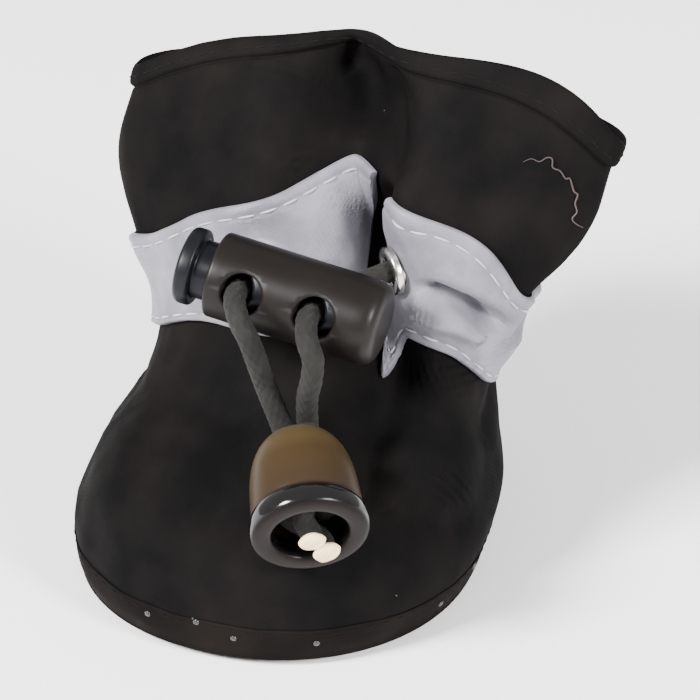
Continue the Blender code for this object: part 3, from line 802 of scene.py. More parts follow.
def tube(name, line, radius_at, around):
    """A tube along a line. radius_at(turn, share, length) gives the radius over it."""
    line = np.array(line, float)
    along = np.gradient(line, axis=0)
    along /= np.linalg.norm(along, axis=1, keepdims=True)
    across = np.cross(along[0], (0.3, 0.2, 1.0))
    across /= np.linalg.norm(across)
    length = np.concatenate([[0], np.cumsum(np.linalg.norm(np.diff(line, axis=0), axis=1))])
    turns = np.arange(around) * 2 * math.pi / around
    rings = []
    for i in range(len(line)):
        across = across - along[i] * across.dot(along[i])
        across /= np.linalg.norm(across)
        other = np.cross(along[i], across)
        radius = radius_at(turns, length[i] / length[-1], length[i])
        ring = np.cos(turns)[:, None] * across + np.sin(turns)[:, None] * other
        rings.append(line[i] + ring * np.reshape(radius, (-1, 1)))
    return face_out(loft(name, np.array(rings), ends="cap"))


def smooth_route(points, spacing):
    """Evenly spaced points on a smooth curve through the route's own points."""
    points = np.array(points, float)
    ends = np.vstack([2 * points[0] - points[1], points, 2 * points[-1] - points[-2]])
    line = []
    for i in range(1, len(ends) - 2):
        a, b, c, d = ends[i - 1 : i + 3]
        for f in np.linspace(0, 1, 12, endpoint=False):
            rise_b, rise_c = (c - a) / 2, (d - b) / 2
            line.append(
                b * (2 * f**3 - 3 * f**2 + 1)
                + rise_b * (f**3 - 2 * f**2 + f)
                + c * (3 * f**2 - 2 * f**3)
                + rise_c * (f**3 - f**2)
            )
    line = np.array(line + [ends[-2]])
    length = np.concatenate([[0], np.cumsum(np.linalg.norm(np.diff(line, axis=0), axis=1))])
    wanted = np.linspace(0, length[-1], max(2, round(length[-1] / spacing) + 1))
    return np.stack([np.interp(wanted, length, line[:, k]) for k in range(3)], axis=1)


# %% [markdown]
# ## The drawcord's two free ends
# The cord is elastic: rubber strands inside a braided sleeve, 2.6 mm thick. Each end leaves its
# eyelet, passes through the lock and hangs down into the bell. The route is a short list of places
# that it goes through, read as one smooth curve. The braid could be a picture on a plain tube, but
# here the tube itself is raised where a strand passes over, so its edge is right as well.

# %% The cords' routes
CORD_DIAMETER = 2.6 * MM
# Millimetres across from the hole, millimetres forward of the lock's middle, share of the drop
HANGING = {
    "right": ((1.6, 7.7, 0.05), (3.2, 8.4, 0.20), (4.2, 8.0, 0.42), (4.7, 6.8, 0.64)),
    "left": ((1.2, 7.8, 0.05), (2.2, 8.5, 0.20), (1.8, 8.0, 0.42), (0.9, 6.8, 0.64)),
}
CORD_INTO_BELL = ((2.8, 1.05), (0.4, 1.0), (-3.6, 1.0))


def cord_route(side, eyelet, hole_height):
    """One free end: out of its eyelet, through the lock, down, and into the bell."""
    passage = hole_height - BUTTON_OFFSET / 2
    inside_band = GAP / 6 - BAND_THICKNESS
    route = [eyelet @ Vector((0, 0, inside_band)), eyelet @ Vector((0, 0, EYELET_THICKNESS))]
    for out, down in ((-0.75, -0.05), (0, 0), (0.85, 0.08)):
        route.append(lock @ Vector((out * LOCK_RADIUS, down * LOCK_RADIUS, passage)))
    start = route[-1]
    neck = bell @ Vector((0, 0, BELL_LENGTH))
    for across, forward, drop in HANGING[side]:
        x = start.x + across * MM
        y = lock.translation.y - forward * MM
        route.append(Vector((x, y, start.z + (neck.z - start.z) * drop)))
    apart = (CORD_DIAMETER + GAP) / 2 * (1 if side == "left" else -1)
    for beyond, spread in CORD_INTO_BELL:
        route.append(bell @ Vector((apart * spread, 0, BELL_LENGTH + beyond * MM)))
    return smooth_route(route, 0.12 * MM)


def braid_radius(turns, share, length):
    """The elastic's sleeve: 16 strands, over and under each other."""
    strands, pitch = 8, 3.4 * MM
    one = strands * turns / (2 * math.pi) + length / pitch * 2
    other = strands * turns / (2 * math.pi) - length / pitch * 2
    over = (np.floor(one) + np.floor(other)) % 2
    a, b = np.abs(np.sin(math.pi * one)), np.abs(np.sin(math.pi * other))
    raised = np.where(over > 0, a * (0.6 + 0.4 * b), b * (0.6 + 0.4 * a))
    return CORD_DIAMETER / 2 * (0.93 + 0.09 * raised)


def length_of(line):
    return float(np.linalg.norm(np.diff(line, axis=0), axis=1).sum())


cords, routes = {}, {}
for side in ("right", "left"):
    routes[side] = cord_route(side, eyelets[side], hole_heights[side])
    cords[side] = tube("braided_cord_" + side, routes[side], braid_radius, 56)
    finish(cords[side], "boot", "black_elastic", "elastic", "cord_" + side)
    print(side, "free end", round(length_of(routes[side]) / MM, 1), "mm long")

# %% [markdown]
# ## Folds in the cloth
# Cloth that a cord has drawn in doesn't wrinkle evenly: it makes a few long folds that run out from
# where it is held. A cloth simulation can find folds, but not the very ones this boot has. So the
# main folds are listed: each row below is a soft trough or ridge, with its height, its width
# and the places that it runs through, as degrees round the boot and station up it.

# %% The folds, listed one by one
# Columns: height in mm (below 0 is a trough), width in mm, and places as (degrees, station)
FOLDS = {
    "slot in the band": (-2.2, 1.7, ((21, 8.4), (19.5, 8.0), (17.5, 7.4), (18, 6.9), (18.5, 6.3), (22, 5.9))),
    "pinched fold in the band": (
        -3.4, 1.0, ((36, 6.88), (45, 7.04), (53, 7.2), (61, 7.33), (71, 7.4), (82, 7.4))
    ),
    "puff under the pinch": (1.9, 1.9, ((40, 6.45), (50, 6.6), (60, 6.78), (72, 6.9))),
    "slack above the pinch": (1.1, 1.8, ((44, 7.55), (58, 7.75), (70, 7.8))),
    "hanging flap": (1.5, 2.8, ((88, 7.3), (94, 6.9), (98, 6.4))),
    "fold left of the slot": (-1.5, 2.0, ((-17, 7.9), (-13, 7.4), (-10, 6.7))),
    "left panel": (0.7, 4.0, ((3, 7.7), (5, 7.2), (6, 6.6))),
    "shaft, beside the crease": (-1.6, 2.4, ((22, 8.1), (17, 8.6), (11, 9.2), (5, 9.9))),
    "notch at the hem": (-1.6, 1.1, ((-2, 9.3), (-4, 9.8), (-4, 10.4))),
    "shaft, left of the crease": (-0.9, 3.0, ((-4, 10.0), (2, 9.2), (9, 8.3))),
    "shaft, left swell": (0.9, 6.0, ((-17, 9.9), (-14, 9.0), (-10, 8.2))),
    "shaft, far left": (-0.6, 4.0, ((-44, 9.8), (-46, 9.0), (-42, 8.2))),
    "shaft, right swell": (0.8, 4.0, ((21, 9.8), (30, 9.0), (36, 8.2))),
    "shaft, right hollow": (-0.8, 3.6, ((31, 9.8), (40, 9.0), (47, 8.2))),
    "shaft, right edge": (0.7, 4.5, ((44, 9.6), (54, 8.9), (60, 8.2))),
    "shaft, short pull": (-0.7, 1.4, ((4, 9.9), (12, 9.6), (19, 9.2))),
    "vamp valley": (-2.4, 2.8, ((32, 5.7), (35, 5.2), (36, 4.7), (37, 4.2), (43, 3.5))),
    "right lobe": (1.3, 5.5, ((58, 6.0), (66, 4.6), (64, 3.5))),
    "under the right lobe": (-0.7, 2.0, ((42, 3.8), (56, 3.35), (70, 2.85), (84, 2.5))),
    "left of the bell": (-0.8, 2.4, ((-38, 5.0), (-20, 5.1), (2, 4.9))),
    "towards the toe": (-0.9, 2.6, ((-1, 4.3), (-6, 3.4), (-11, 2.5), (-13, 1.7))),
    "left lobe": (0.9, 6.0, ((-52, 5.1), (-42, 3.7), (-30, 2.3))),
    "toe ridge": (0.5, 1.8, ((26, 3.2), (28, 2.6), (29, 1.9))),
    "right side pull": (-0.9, 2.4, ((112, 6.2), (104, 5.0), (88, 3.9))),
    "left side pull": (-0.9, 2.4, ((-100, 6.2), (-92, 4.9), (-70, 3.8))),
    "heel fold": (-0.8, 2.6, ((150, 5.6), (176, 4.9), (206, 5.4))),
    "heel fold, low": (-0.5, 2.2, ((164, 3.9), (184, 3.5), (214, 4.0))),
    "back of the shaft": (-0.9, 3.0, ((176, 7.9), (172, 8.8), (166, 9.7))),
    "back of the shaft, left": (-0.7, 2.6, ((214, 7.9), (222, 8.8), (226, 9.6))),
    "back of the shaft, right": (-0.7, 2.6, ((140, 7.9), (134, 8.8), (128, 9.7))),
}


def soft_noise(points, size, seed):
    """Smooth noise from -1 to 1 over points, in lumps of about the given size."""
    table = np.random.default_rng(seed).uniform(-1, 1, (32, 32, 32))
    cell = points / size
    low = np.floor(cell).astype(int)
    f = cell - low
    f = f * f * (3 - 2 * f)
    total = np.zeros(points.shape[:-1])
    for corner in product((0, 1), repeat=3):
        share = np.where(corner, f, 1 - f).prod(axis=-1)
        x, y, z = np.moveaxis((low + corner) % 32, -1, 0)
        total += share * table[x, y, z]
    return total


def ease(value, low, high):
    """0 below low and 1 above high, with a smooth change between."""
    f = np.clip((value - low) / (high - low), 0, 1)
    return f * f * (3 - 2 * f)


def fold_heights(points):
    """How far the listed folds push each point out of the last."""
    flat = points.reshape(-1, 3)
    total = np.zeros(len(flat))
    for height, width, places in FOLDS.values():
        degrees, station = np.array(places, float).T
        path = smooth_route(skin(np.radians(degrees), station)[0], 0.2 * width * MM)
        near = np.ones(len(flat), bool)
        for axis in range(3):
            reach = 2.6 * width * MM
            near &= flat[:, axis] > path[:, axis].min() - reach
            near &= flat[:, axis] < path[:, axis].max() + reach
        away = np.linalg.norm(flat[near, None] - path[None], axis=-1)
        nearest = away.argmin(axis=1)
        share = nearest / (len(path) - 1)
        fade = ease(share, -0.05, 0.3) * ease(1 - share, -0.05, 0.3)
        profile = np.exp(-((away.min(axis=1) / (width * MM)) ** 1.7))
        total[near] += height * MM * profile * fade
    return total.reshape(points.shape[:-1])


def gather_heights(phi, t, points):
    """Small pleats that the drawcord makes, strongest at the band and behind."""
    strength = np.exp(-(((t - 7.1) / 1.5) ** 2))
    behind = 0.25 + 0.75 * ease(-np.cos(phi), -0.3, 0.5)
    wander = soft_noise(points, 9 * MM, 3)
    wave = np.cos(21 * phi + 2.6 * wander) + 0.4 * np.cos(34 * phi - 3 * wander)
    return 0.42 * MM * strength * behind * wave


def crumple_heights(points):
    """Shallow creases all over: the edges where soft lumps of noise change sign."""
    stretched = points * (1, 1, 0.6)
    broad = 1 - np.abs(soft_noise(stretched, 8.5 * MM, 11)) * 2
    fine = 1 - np.abs(soft_noise(stretched, 3.6 * MM, 12)) * 2
    return MM * (0.20 * broad + 0.07 * fine)


def cloth(phi, t, offset=0.0):
    """The cloth's surface: the last with its folds, moved out by offset.

    It lies flat under the eyelets, and the hem is widest at the front on the wearer's left.
    """
    phi, t, offset = np.broadcast_arrays(phi, t, offset)
    points, normal = skin(phi, t)
    height = fold_heights(points) + gather_heights(phi, t, points) + crumple_heights(points)
    height = height * ease(t, 0.4, 1.6)
    for matrix in eyelets.values():
        away = np.linalg.norm(points - np.array(matrix.translation), axis=-1)
        height = height * ease(away, 2.6 * MM, 4.6 * MM)
    points = points + (height + offset)[..., None] * normal
    degrees = np.degrees(np.angle(np.exp(1j * phi)))
    wide = np.exp(-(((degrees - 50) / 32) ** 2))
    points[..., 2] += 2.0 * MM * wide * ease(t, 10.0, 11)
    return points, normal


print(len(FOLDS), "folds")

# %% [markdown]
# ## The upper
# The foot bag and the shaft are one tube of cloth, lined inside and folded to a hem at the top. It
# could be a thin sheet with a Solidify modifier, but the hem is thicker than the rest and the lining
# has its own cloth. So the rings run up the outside, over the hem and down the inside in one skin.

# %% The upper
AROUND = 300
FRONT_CROWDING = 0.45


def columns_at(t, around=AROUND):
    """Angles round the cloth at station t: they start at the crease and crowd together there."""
    turn = np.arange(around) * 2 * math.pi / around
    turn = turn - FRONT_CROWDING * np.sin(turn)
    return turn + crease_angle(t) * (1 + np.cos(turn)) / 2


def sheet_of(stations, offsets, around=AROUND):
    """Rings of cloth points at these stations and offsets."""
    stations = np.array(stations, float)
    phi = np.array([columns_at(t, around) for t in stations])
    t = np.repeat(stations[:, None], around, axis=1)
    return cloth(phi, t, np.array(offsets, float)[:, None])[0]


seam, top = STATION["hem_seam"], STATION["hem_top"]
steps = [np.arange(0, 5.8, 0.062), np.arange(5.8, 8.3, 0.04), np.arange(8.3, seam - 0.1, 0.062)]
below = np.concatenate([*steps, seam - np.array([0.08, 0.05, 0.03, 0.01])])
hem = np.array([0.01, 0.03, 0.06, 0.12, 0.3, 0.5, 0.7, 0.85, 0.94, 0.985]) + seam
hem_out = np.array([0.05, 0.3, 0.5, 0.62, 0.72, 0.76, 0.72, 0.62, 0.42, 0.15]) * MM
rim = [top - 0.001, top - 0.001, top - 0.001]
rim_out = [-0.1 * MM, -0.5 * MM, -0.8 * MM]
inside = np.concatenate([[top - 0.02, top - 0.1], np.arange(top - 0.3, 0.02, -0.2), [0.0]])
seam_dip = -0.22 * MM * np.exp(-(((below - seam) / 0.04) ** 2))
stations = np.concatenate([below, hem, rim, inside])
offsets = np.concatenate([seam_dip, hem_out, rim_out, np.full(len(inside), -WALL)])
lining_row = len(below) + len(hem) + len(rim)
upper = loft("upper_cloth", sheet_of(stations, offsets), ends="join", slot_rows=((lining_row, 1),))
face_out(upper)
finish(upper, "boot", "black_cloth", ["black_cloth", "lining"], "upper")
print("upper:", len(upper.data.polygons), "faces")

# %% [markdown]
# ## The reflective band
# The band is a strip of tape sewn round the ankle over the cloth, and the drawcord runs behind it.
# Where the cord draws it in, it puckers, has one deep fold on the right, and dips to a point beside
# the crease. It follows the cloth below it a small gap away. Between the slot and the deep fold the
# two meshes still cross by about a tenth of a millimetre, behind the tape where it doesn't show.

# %% The band
def band_edges(phi):
    """The stations of the band's lower and upper edges at each angle."""
    degrees = np.degrees((phi + math.pi) % (2 * math.pi) - math.pi)
    low = 6.0 - 0.7 * np.exp(-(((degrees - 31) / 5.0) ** 2))
    low = low + 0.22 * np.exp(-(((degrees + 38) / 22) ** 2))
    low = low - 0.25 * np.exp(-(((degrees - 100) / 22) ** 2))
    high = 8.0 + 0.03 * np.sin(9 * phi) + 0.17 * np.exp(-(((degrees - 56) / 24) ** 2))
    return low, high


def band_points(phi, share, offset):
    """Points of the band: share goes from its lower edge, 0, to its upper edge, 1."""
    low, high = band_edges(phi)
    t = low + share * (high - low)
    return cloth(phi, t, offset)


BAND_AROUND = 420
BAND_ROWS = 84
# The tape's two ends meet at the slot, in degrees at each share of the band's height. The black cloth
# that shows in the gap between them is painted shade: it stands for the shaded tape deep in the slot.
SLOT_SHARES = (0.0, 0.1, 0.25, 0.5, 0.75, 1.0)
SLOT_RIGHT = (29.0, 26.0, 23.0, 22.0, 22.2, 23.0)
SLOT_LEFT = (16.0, 15.2, 14.6, 14.2, 14.4, 15.0)


def band_angles(shares, around):
    """Angles along the band at each share, from its right end round the boot to its left end."""
    first = np.interp(shares, SLOT_SHARES, SLOT_RIGHT)[:, None]
    last = np.interp(shares, SLOT_SHARES, SLOT_LEFT)[:, None] + 360
    turn = np.linspace(0, 2 * math.pi, around)
    crowded = (turn - FRONT_CROWDING * np.sin(turn)) / (2 * math.pi)
    return np.radians(first + (last - first) * crowded)


shares = np.concatenate([[0.0, 0.004, 0.015], np.linspace(0.03, 0.97, BAND_ROWS), [0.985, 0.996, 1.0]])
edge_round = np.array([0.35, 0.7, 0.95])
outer_out = np.concatenate([edge_round, np.ones(BAND_ROWS), edge_round[::-1]]) * BAND_THICKNESS
stitch_dip = np.exp(-(((shares - 0.085) / 0.02) ** 2)) + np.exp(-(((shares - 0.915) / 0.02) ** 2))
outer_out = outer_out - 0.16 * MM * stitch_dip
outer_offset = GAP + np.repeat(outer_out[:, None], BAND_AROUND, axis=1)
outer = band_points(band_angles(shares, BAND_AROUND), shares[:, None], outer_offset)[0]
inner_shares = np.linspace(1.0, 0.0, 12)
inner_phi = band_angles(inner_shares, BAND_AROUND)
inner = band_points(inner_phi, inner_shares[:, None], np.full(inner_phi.shape, GAP))[0]
across_strip = np.concatenate([outer, inner]).transpose(1, 0, 2)
band = face_out(loft("reflective_band", across_strip, ends="cap"))
cutters = [
    turned("hole", [(0, 2 * MM), (2.2 * MM, 2 * MM), (2.2 * MM, -2 * MM), (0, -2 * MM)], matrix)
    for matrix in eyelets.values()
]
cut_out(band, cutters)
finish(band, "boot", "silver_tape", "silver_tape", "ankle_band")
print("band:", len(band.data.polygons), "faces")

# %% [markdown]
# ## Stitching
# A row of stitches is many small things that are all alike, so one function lays them along any
# line on the cloth and joins them into one mesh. Each stitch is a short thread that dips into the
# cloth at both ends.


# %% Laying stitches along a line
def stitch_row(name, line, normals, length, gap, thread, look, body="boot"):
    """Stitches of one length along a line of points, as one mesh."""
    run = np.concatenate([[0], np.cumsum(np.linalg.norm(np.diff(line, axis=0), axis=1))])
    count = int(run[-1] // (length + gap))
    pitch = run[-1] / count
    sides, bends = 6, 6
    turns = np.arange(sides) * 2 * math.pi / sides
    points, faces = [], []
    for i in range(count):
        at = i * pitch + np.linspace(0, pitch * length / (length + gap), bends)
        middle = np.stack([np.interp(at, run, line[:, k]) for k in range(3)], axis=1)
        outward = np.stack([np.interp(at, run, normals[:, k]) for k in range(3)], axis=1)
        outward /= np.linalg.norm(outward, axis=1, keepdims=True)
        arch = np.sin(np.linspace(0, math.pi, bends))
        middle += outward * (thread * (1.1 * arch - 0.6))[:, None]
        along = np.gradient(middle, axis=0)
        along /= np.linalg.norm(along, axis=1, keepdims=True)
        across = np.cross(along, outward)
        base = len(points)
        for k in range(bends):
            radius = thread * (0.55 + 0.45 * arch[k])
            ring = np.cos(turns)[:, None] * across[k] + np.sin(turns)[:, None] * outward[k]
            points += (middle[k] + ring * radius).tolist()
        for k in range(bends - 1):
            for j in range(sides):
                a, b = base + k * sides + j, base + k * sides + (j + 1) % sides
                faces.append((a, b, b + sides, a + sides))
        faces.append([base + j for j in reversed(range(sides))])
        faces.append([base + (bends - 1) * sides + j for j in range(sides)])
    mesh = bpy.data.meshes.new(name)
    mesh.from_pydata(points, [], faces)
    layer = mesh.uv_layers.new(name=CLOTH_MAP)
    corners = np.array(points)[[v for face in faces for v in face]]
    layer.data.foreach_set("uv", corners[:, [0, 2]].astype(np.float32).ravel())
    mesh.shade_smooth()
    obj = bpy.data.objects.new(name, mesh)
    bpy.context.scene.collection.objects.link(obj)
    face_out(obj)
    return finish(obj, body, look[0], look[1]), count


# %% Stitches of the band, the hem and the sole
SAMPLES = 1400
round_boot = np.linspace(0, 2 * math.pi, SAMPLES)
along_band = np.radians(np.linspace(27, 372, SAMPLES))
for place, share in (("low", 0.085), ("high", 0.915)):
    lift = np.full(SAMPLES, GAP + BAND_THICKNESS - 0.1 * MM)
    line, normals = band_points(along_band, np.full(SAMPLES, share), lift)
    look = ("silver_tape", "tape_thread")
    row, count = stitch_row("band_stitches_" + place, line, normals, 2.1 * MM, 0.8 * MM, 0.16 * MM, look)
    print("band,", place, "edge:", count, "stitches")
line, normals = cloth(round_boot, np.full(SAMPLES, seam + 0.22), 0.68 * MM)
row, count = stitch_row(
    "hem_stitches", line, normals, 1.5 * MM, 0.6 * MM, 0.10 * MM, ("black_cloth", "black_thread")
)
print("hem:", count, "stitches")

# %% [markdown]
# ## The sole and the insole
# The sole is a second layer of cloth with small rubber dots for grip. It is flat on the floor and
# its edge is turned up round the foot and sewn. The dots are real bumps, because they break the
# outline of the edge and catch the light there. A loose foam insole lies inside.

# %% The sole cloth
TURN_UP = 1.35
TOE_RISE = 0.25
DOT_HEIGHT = 0.4 * MM
SOLE_AROUND = 300
angles = columns_at(0.0, SOLE_AROUND)
feather = skin(angles, 0.0)[0]
middle = np.array([0, feather[:, 1].mean(), 0])


def sole_flat(share, height):
    points = middle + (feather - middle) * share
    points[:, 2] = height
    return points


def sole_edge(share, offset, phi=None):
    """The turned-up edge of the sole: share goes from the floor, 0, to the cut edge, 1."""
    phi = angles if phi is None else phi
    t = (TURN_UP + TOE_RISE * np.cos(phi)) * share
    return cloth(phi, t, offset)


def sole_lift(share):
    """How far the sole's inner side stands off the upper: least at its cut edge, which is sewn down."""
    return GAP + (0.03 * MM - GAP) * share


def sole_thickness(share):
    return (SOLE_THICKNESS - DOT_HEIGHT) * (1 - share) ** 2 * 0.6 + 0.08 * MM


rings = [sole_flat(share, DOT_HEIGHT) for share in np.linspace(0.06, 0.955, 12)]
for share in np.linspace(0, 1, 22):
    rings.append(sole_edge(share, sole_lift(share) + sole_thickness(share))[0])
rings += [sole_edge(share, sole_lift(share))[0] for share in (0.995, 0.8, 0.6, 0.4, 0.2, 0.0)]
rings += [sole_flat(share, SOLE_THICKNESS) for share in np.linspace(0.965, 0.06, 8)]
rings = np.array(rings)
rings[12:34, :, 2] = np.maximum(rings[12:34, :, 2], DOT_HEIGHT)
sole = loft("sole_cloth", rings, ends="cap")
face_out(sole)
finish(sole, "boot", "sole_cloth", "sole_cloth", "outsole")
line, normals = sole_edge(np.full(SAMPLES, 0.9), sole_lift(0.9) + sole_thickness(0.9), round_boot)
row, count = stitch_row(
    "sole_stitches", line, normals, 1.4 * MM, 0.7 * MM, 0.06 * MM, ("sole_cloth", "black_thread")
)
print("sole:", len(sole.data.polygons), "faces,", count, "stitches")

# %% The rubber dots
DOT_RADIUS = 0.95 * MM
DOT_PITCH = 4.8 * MM
EDGE_DOT_RADIUS = 0.42 * MM
EDGE_DOT_HEIGHT = 0.22 * MM


def dome(centre, normal, radius, height):
    """Points and faces of one low dome."""
    z = Vector(normal).normalized()
    x = z.orthogonal().normalized()
    y = z.cross(x)
    sides, levels = 16, ((1.0, -0.4), (1.0, 0.25), (0.86, 0.62), (0.6, 0.88), (0.28, 0.99))
    points = []
    for share, up_share in levels:
        for j in range(sides):
            turn = 2 * math.pi * j / sides
            offset = (x * math.cos(turn) + y * math.sin(turn)) * radius * share
            points.append(Vector(centre) + offset + z * height * up_share)
    points.append(Vector(centre) + z * height)
    points.append(Vector(centre) - z * height * 0.4)
    faces = []
    for k in range(len(levels) - 1):
        for j in range(sides):
            n = (j + 1) % sides
            faces.append((k * sides + j, k * sides + n, (k + 1) * sides + n, (k + 1) * sides + j))
    last = (len(levels) - 1) * sides
    faces += [(last + j, last + (j + 1) % sides, len(points) - 2) for j in range(sides)]
    faces += [((j + 1) % sides, j, len(points) - 1) for j in range(sides)]
    return points, faces


places = []
bearing = np.arctan2(feather[:, 0], middle[1] - feather[:, 1])
for row_number in range(-8, 9):
    for column in range(-8, 9):
        x = (column + (row_number % 2) / 2) * DOT_PITCH
        y = middle[1] + row_number * DOT_PITCH * math.sqrt(0.75)
        angle = math.atan2(x, -(y - middle[1]))
        nearest = np.abs(np.angle(np.exp(1j * (bearing - angle)))).argmin()
        reach = np.linalg.norm(feather[nearest, :2] - middle[:2])
        if math.hypot(x, y - middle[1]) < 0.9 * reach:
            places.append(((x, y, DOT_HEIGHT), (0, 0, -1), DOT_HEIGHT))
EDGE_DOTS = [(-18.5, 0.81), (-3.5, 0.95), (7.5, 0.75), (30, 0.7)]
EDGE_DOTS += [(degrees, 0.65 + 0.2 * (number % 2)) for number, degrees in enumerate(range(70, 300, 18))]
for degrees, level in EDGE_DOTS:
    level, angle = np.array([level]), np.radians([degrees])
    points, normals = sole_edge(level, sole_lift(level) + sole_thickness(level), angle)
    places.append((points[0], normals[0], EDGE_DOT_HEIGHT))
points, faces = [], []
for centre, normal, height in places:
    radius = DOT_RADIUS if height == DOT_HEIGHT else EDGE_DOT_RADIUS
    new_points, new_faces = dome(centre, normal, radius, height)
    faces += [[v + len(points) for v in face] for face in new_faces]
    points += new_points
mesh = bpy.data.meshes.new("sole_dots")
mesh.from_pydata([tuple(point) for point in points], [], faces)
mesh.shade_smooth()
dots = bpy.data.objects.new("sole_dots", mesh)
bpy.context.scene.collection.objects.link(dots)
face_out(dots)
finish(dots, "boot", "sole_cloth", "rubber")
print(len(places), "dots")

# %% The insole
outline = skin(angles, 0.0, -(WALL + 2 * GAP))[0]
INSOLE_BOTTOM = SOLE_THICKNESS + GAP
INSOLE_PROFILE = (
    (0.10, 0.0), (0.97, 0.0), (0.992, 0.25), (1.0, 0.6), (0.996, 0.95), (0.985, 1.2), (0.96, 1.38),
    (0.92, 1.46), (0.80, 1.5), (0.60, 1.46), (0.40, 1.42), (0.22, 1.40), (0.10, 1.40),
)
middle_in = outline.mean(axis=0)
rings = []
for share, height in INSOLE_PROFILE:
    ring = middle_in + (outline - middle_in) * share
    ring[:, 2] = INSOLE_BOTTOM + height * MM
    rings.append(ring)
insole = face_out(loft("foam_insole", np.array(rings), ends="cap"))
finish(insole, "boot", "lining_cloth", "insole_cloth", "insole")
print("insole:", len(insole.data.polygons), "faces")

# %% [markdown]
# ## The eyelets, the lock and its button
# These pieces are turned: a profile swept round an axis. The lock's cord holes could be drawn on, but
# the cord runs through them, so they are cut. The cutter is a loft whose rings follow the barrel's
# round side, which gives each hole a soft lip that catches the light.

# %% The eyelets
for side, matrix in eyelets.items():
    corners = (
        (1.7, -0.38, 0.1), (1.7, 1.25, 0.5), (2.35, 1.34, 0.4), (3.0, 1.2, 0.5), (3.0, 0.3, 0.2),
        (2.1, 0.3, 0.05), (2.1, -0.38, 0.1),
    )
    profile = rounded([(r * MM, h * MM, size * MM) for r, h, size in corners], 0, 6)
    ring = turned("rolled_eyelet_" + side, profile, matrix)
    finish(ring, "boot", "bright_steel", "steel", "eyelet_" + side)
print("eyelets:", len(eyelets))


# %% The lock's barrel and button
def hole_cutter(name, matrix, barrel_radius):
    """A closed cutter for one cord hole, flared where it meets the barrel's round side."""
    turns = np.arange(64) * 2 * math.pi / 64
    flare = ((0.60, 3.0), (0.60, 0.06), (0.34, -0.03), (0.16, -0.12), (0.05, -0.28), (0.0, -0.5))
    rings = []
    for end in (-1, 1):
        for wider, depth in flare[::-end]:
            radius = LOCK_HOLE + wider * MM
            y, z = radius * np.sin(turns), radius * np.cos(turns)
            side_height = np.sqrt(np.maximum(barrel_radius**2 - y**2, 0)) + depth * MM
            rings.append(np.stack([end * side_height, y, z], axis=-1))
    cutter = face_out(loft(name, np.array(rings), ends="cap"))
    cutter.matrix_world = matrix
    return cutter


def with_steps(profile, step):
    """The profile with points added, so that none of its edges is longer than step."""
    line = []
    for a, b in zip(profile, profile[1:]):
        count = max(1, math.ceil(math.dist(a, b) / step))
        line += [tuple(np.array(a) + (np.array(b) - np.array(a)) * i / count) for i in range(count)]
    return line + [profile[-1]]


mouth, end = -LOCK_LENGTH / 2, LOCK_LENGTH / 2
corners = (
    (0, end, 0), (LOCK_RADIUS, end, 1.9 * MM), (LOCK_RADIUS, mouth, 0.45 * MM),
    (3.8 * MM, mouth, 0.4 * MM), (3.8 * MM, end - 2 * MM, 0.5 * MM), (0, end - 2 * MM, 0),
)
barrel = turned("barrel_shell", with_steps(rounded(corners, 0, 7), 0.9 * MM), lock)
holes = [
    hole_cutter("cutter", lock @ Matrix.Translation((0, 0, height)), LOCK_RADIUS)
    for height in hole_heights.values()
]
cut_out(barrel, holes)
finish(barrel, "boot", "black_plastic", "lock_plastic", "lock_barrel")

STEM = 3.5 * MM
neck, head = mouth - 2.1 * MM, mouth - 4.0 * MM
corners = (
    (0, 6.5 * MM, 0), (STEM, 6.5 * MM, 0.5 * MM), (STEM, neck, 0.3 * MM),
    (4.6 * MM, neck, 0.5 * MM), (4.6 * MM, head, 0.7 * MM), (0, head, 0),
)
button = turned("press_button", with_steps(rounded(corners, 0, 7), 0.9 * MM), lock)
holes = [
    hole_cutter("cutter", lock @ Matrix.Translation((0, 0, height - BUTTON_OFFSET)), STEM)
    for height in hole_heights.values()
]
cut_out(button, holes)
finish(button, "lock_button", "black_plastic", "button_plastic", "lock_button")
print("barrel:", len(barrel.data.polygons), "faces, button:", len(button.data.polygons))

# %% [markdown]
# ## The bell and the knot
# The bell is moulded in one piece, so one profile makes it: a dome, a glossy ring and a rounded
# mouth. The two cord ends are knotted inside. A knot could be sculpted as a lump, but here each
# end is a braided tube of its own that winds round the other and stops at a cut face, where the pale
# rubber core shows.

# %% The bell
outside = (
    (3.15, 13.3), (3.45, 13.42), (3.85, 13.2), (4.4, 12.6), (4.95, 11.8), (5.45, 10.75),
    (5.85, 9.5), (6.12, 8.2), (6.28, 6.9), (6.38, 5.6), (6.46, 4.4), (6.46, 3.5), (6.4, 3.2),
    (6.5, 2.95), (6.78, 2.6), (6.98, 2.0), (7.02, 1.4), (6.96, 0.8), (6.72, 0.3), (6.3, 0.06),
    (5.7, 0.0), (5.1, 0.02), (4.7, 0.14), (4.5, 0.45), (4.45, 0.9), (4.55, 1.5), (4.7, 2.2),
)
curved = smooth_route([(r * MM, 0, h * MM) for r, h in outside], 0.14 * MM)
profile = [(point[0], point[2]) for point in curved]
profile += [(4.8 * MM, 4.5 * MM), (4.8 * MM, 7.5 * MM), (3.12 * MM, 9.2 * MM), (3.1 * MM, 13.0 * MM)]
bell_piece = turned("bell_moulding", profile, bell, 128)
bell_piece.data.shade_smooth()
bell_piece.data.set_sharp_from_angle(angle=math.radians(75))
finish(bell_piece, "boot", "smoke_plastic", "smoke", "cord_bell")
print("bell:", len(bell_piece.data.polygons), "faces")

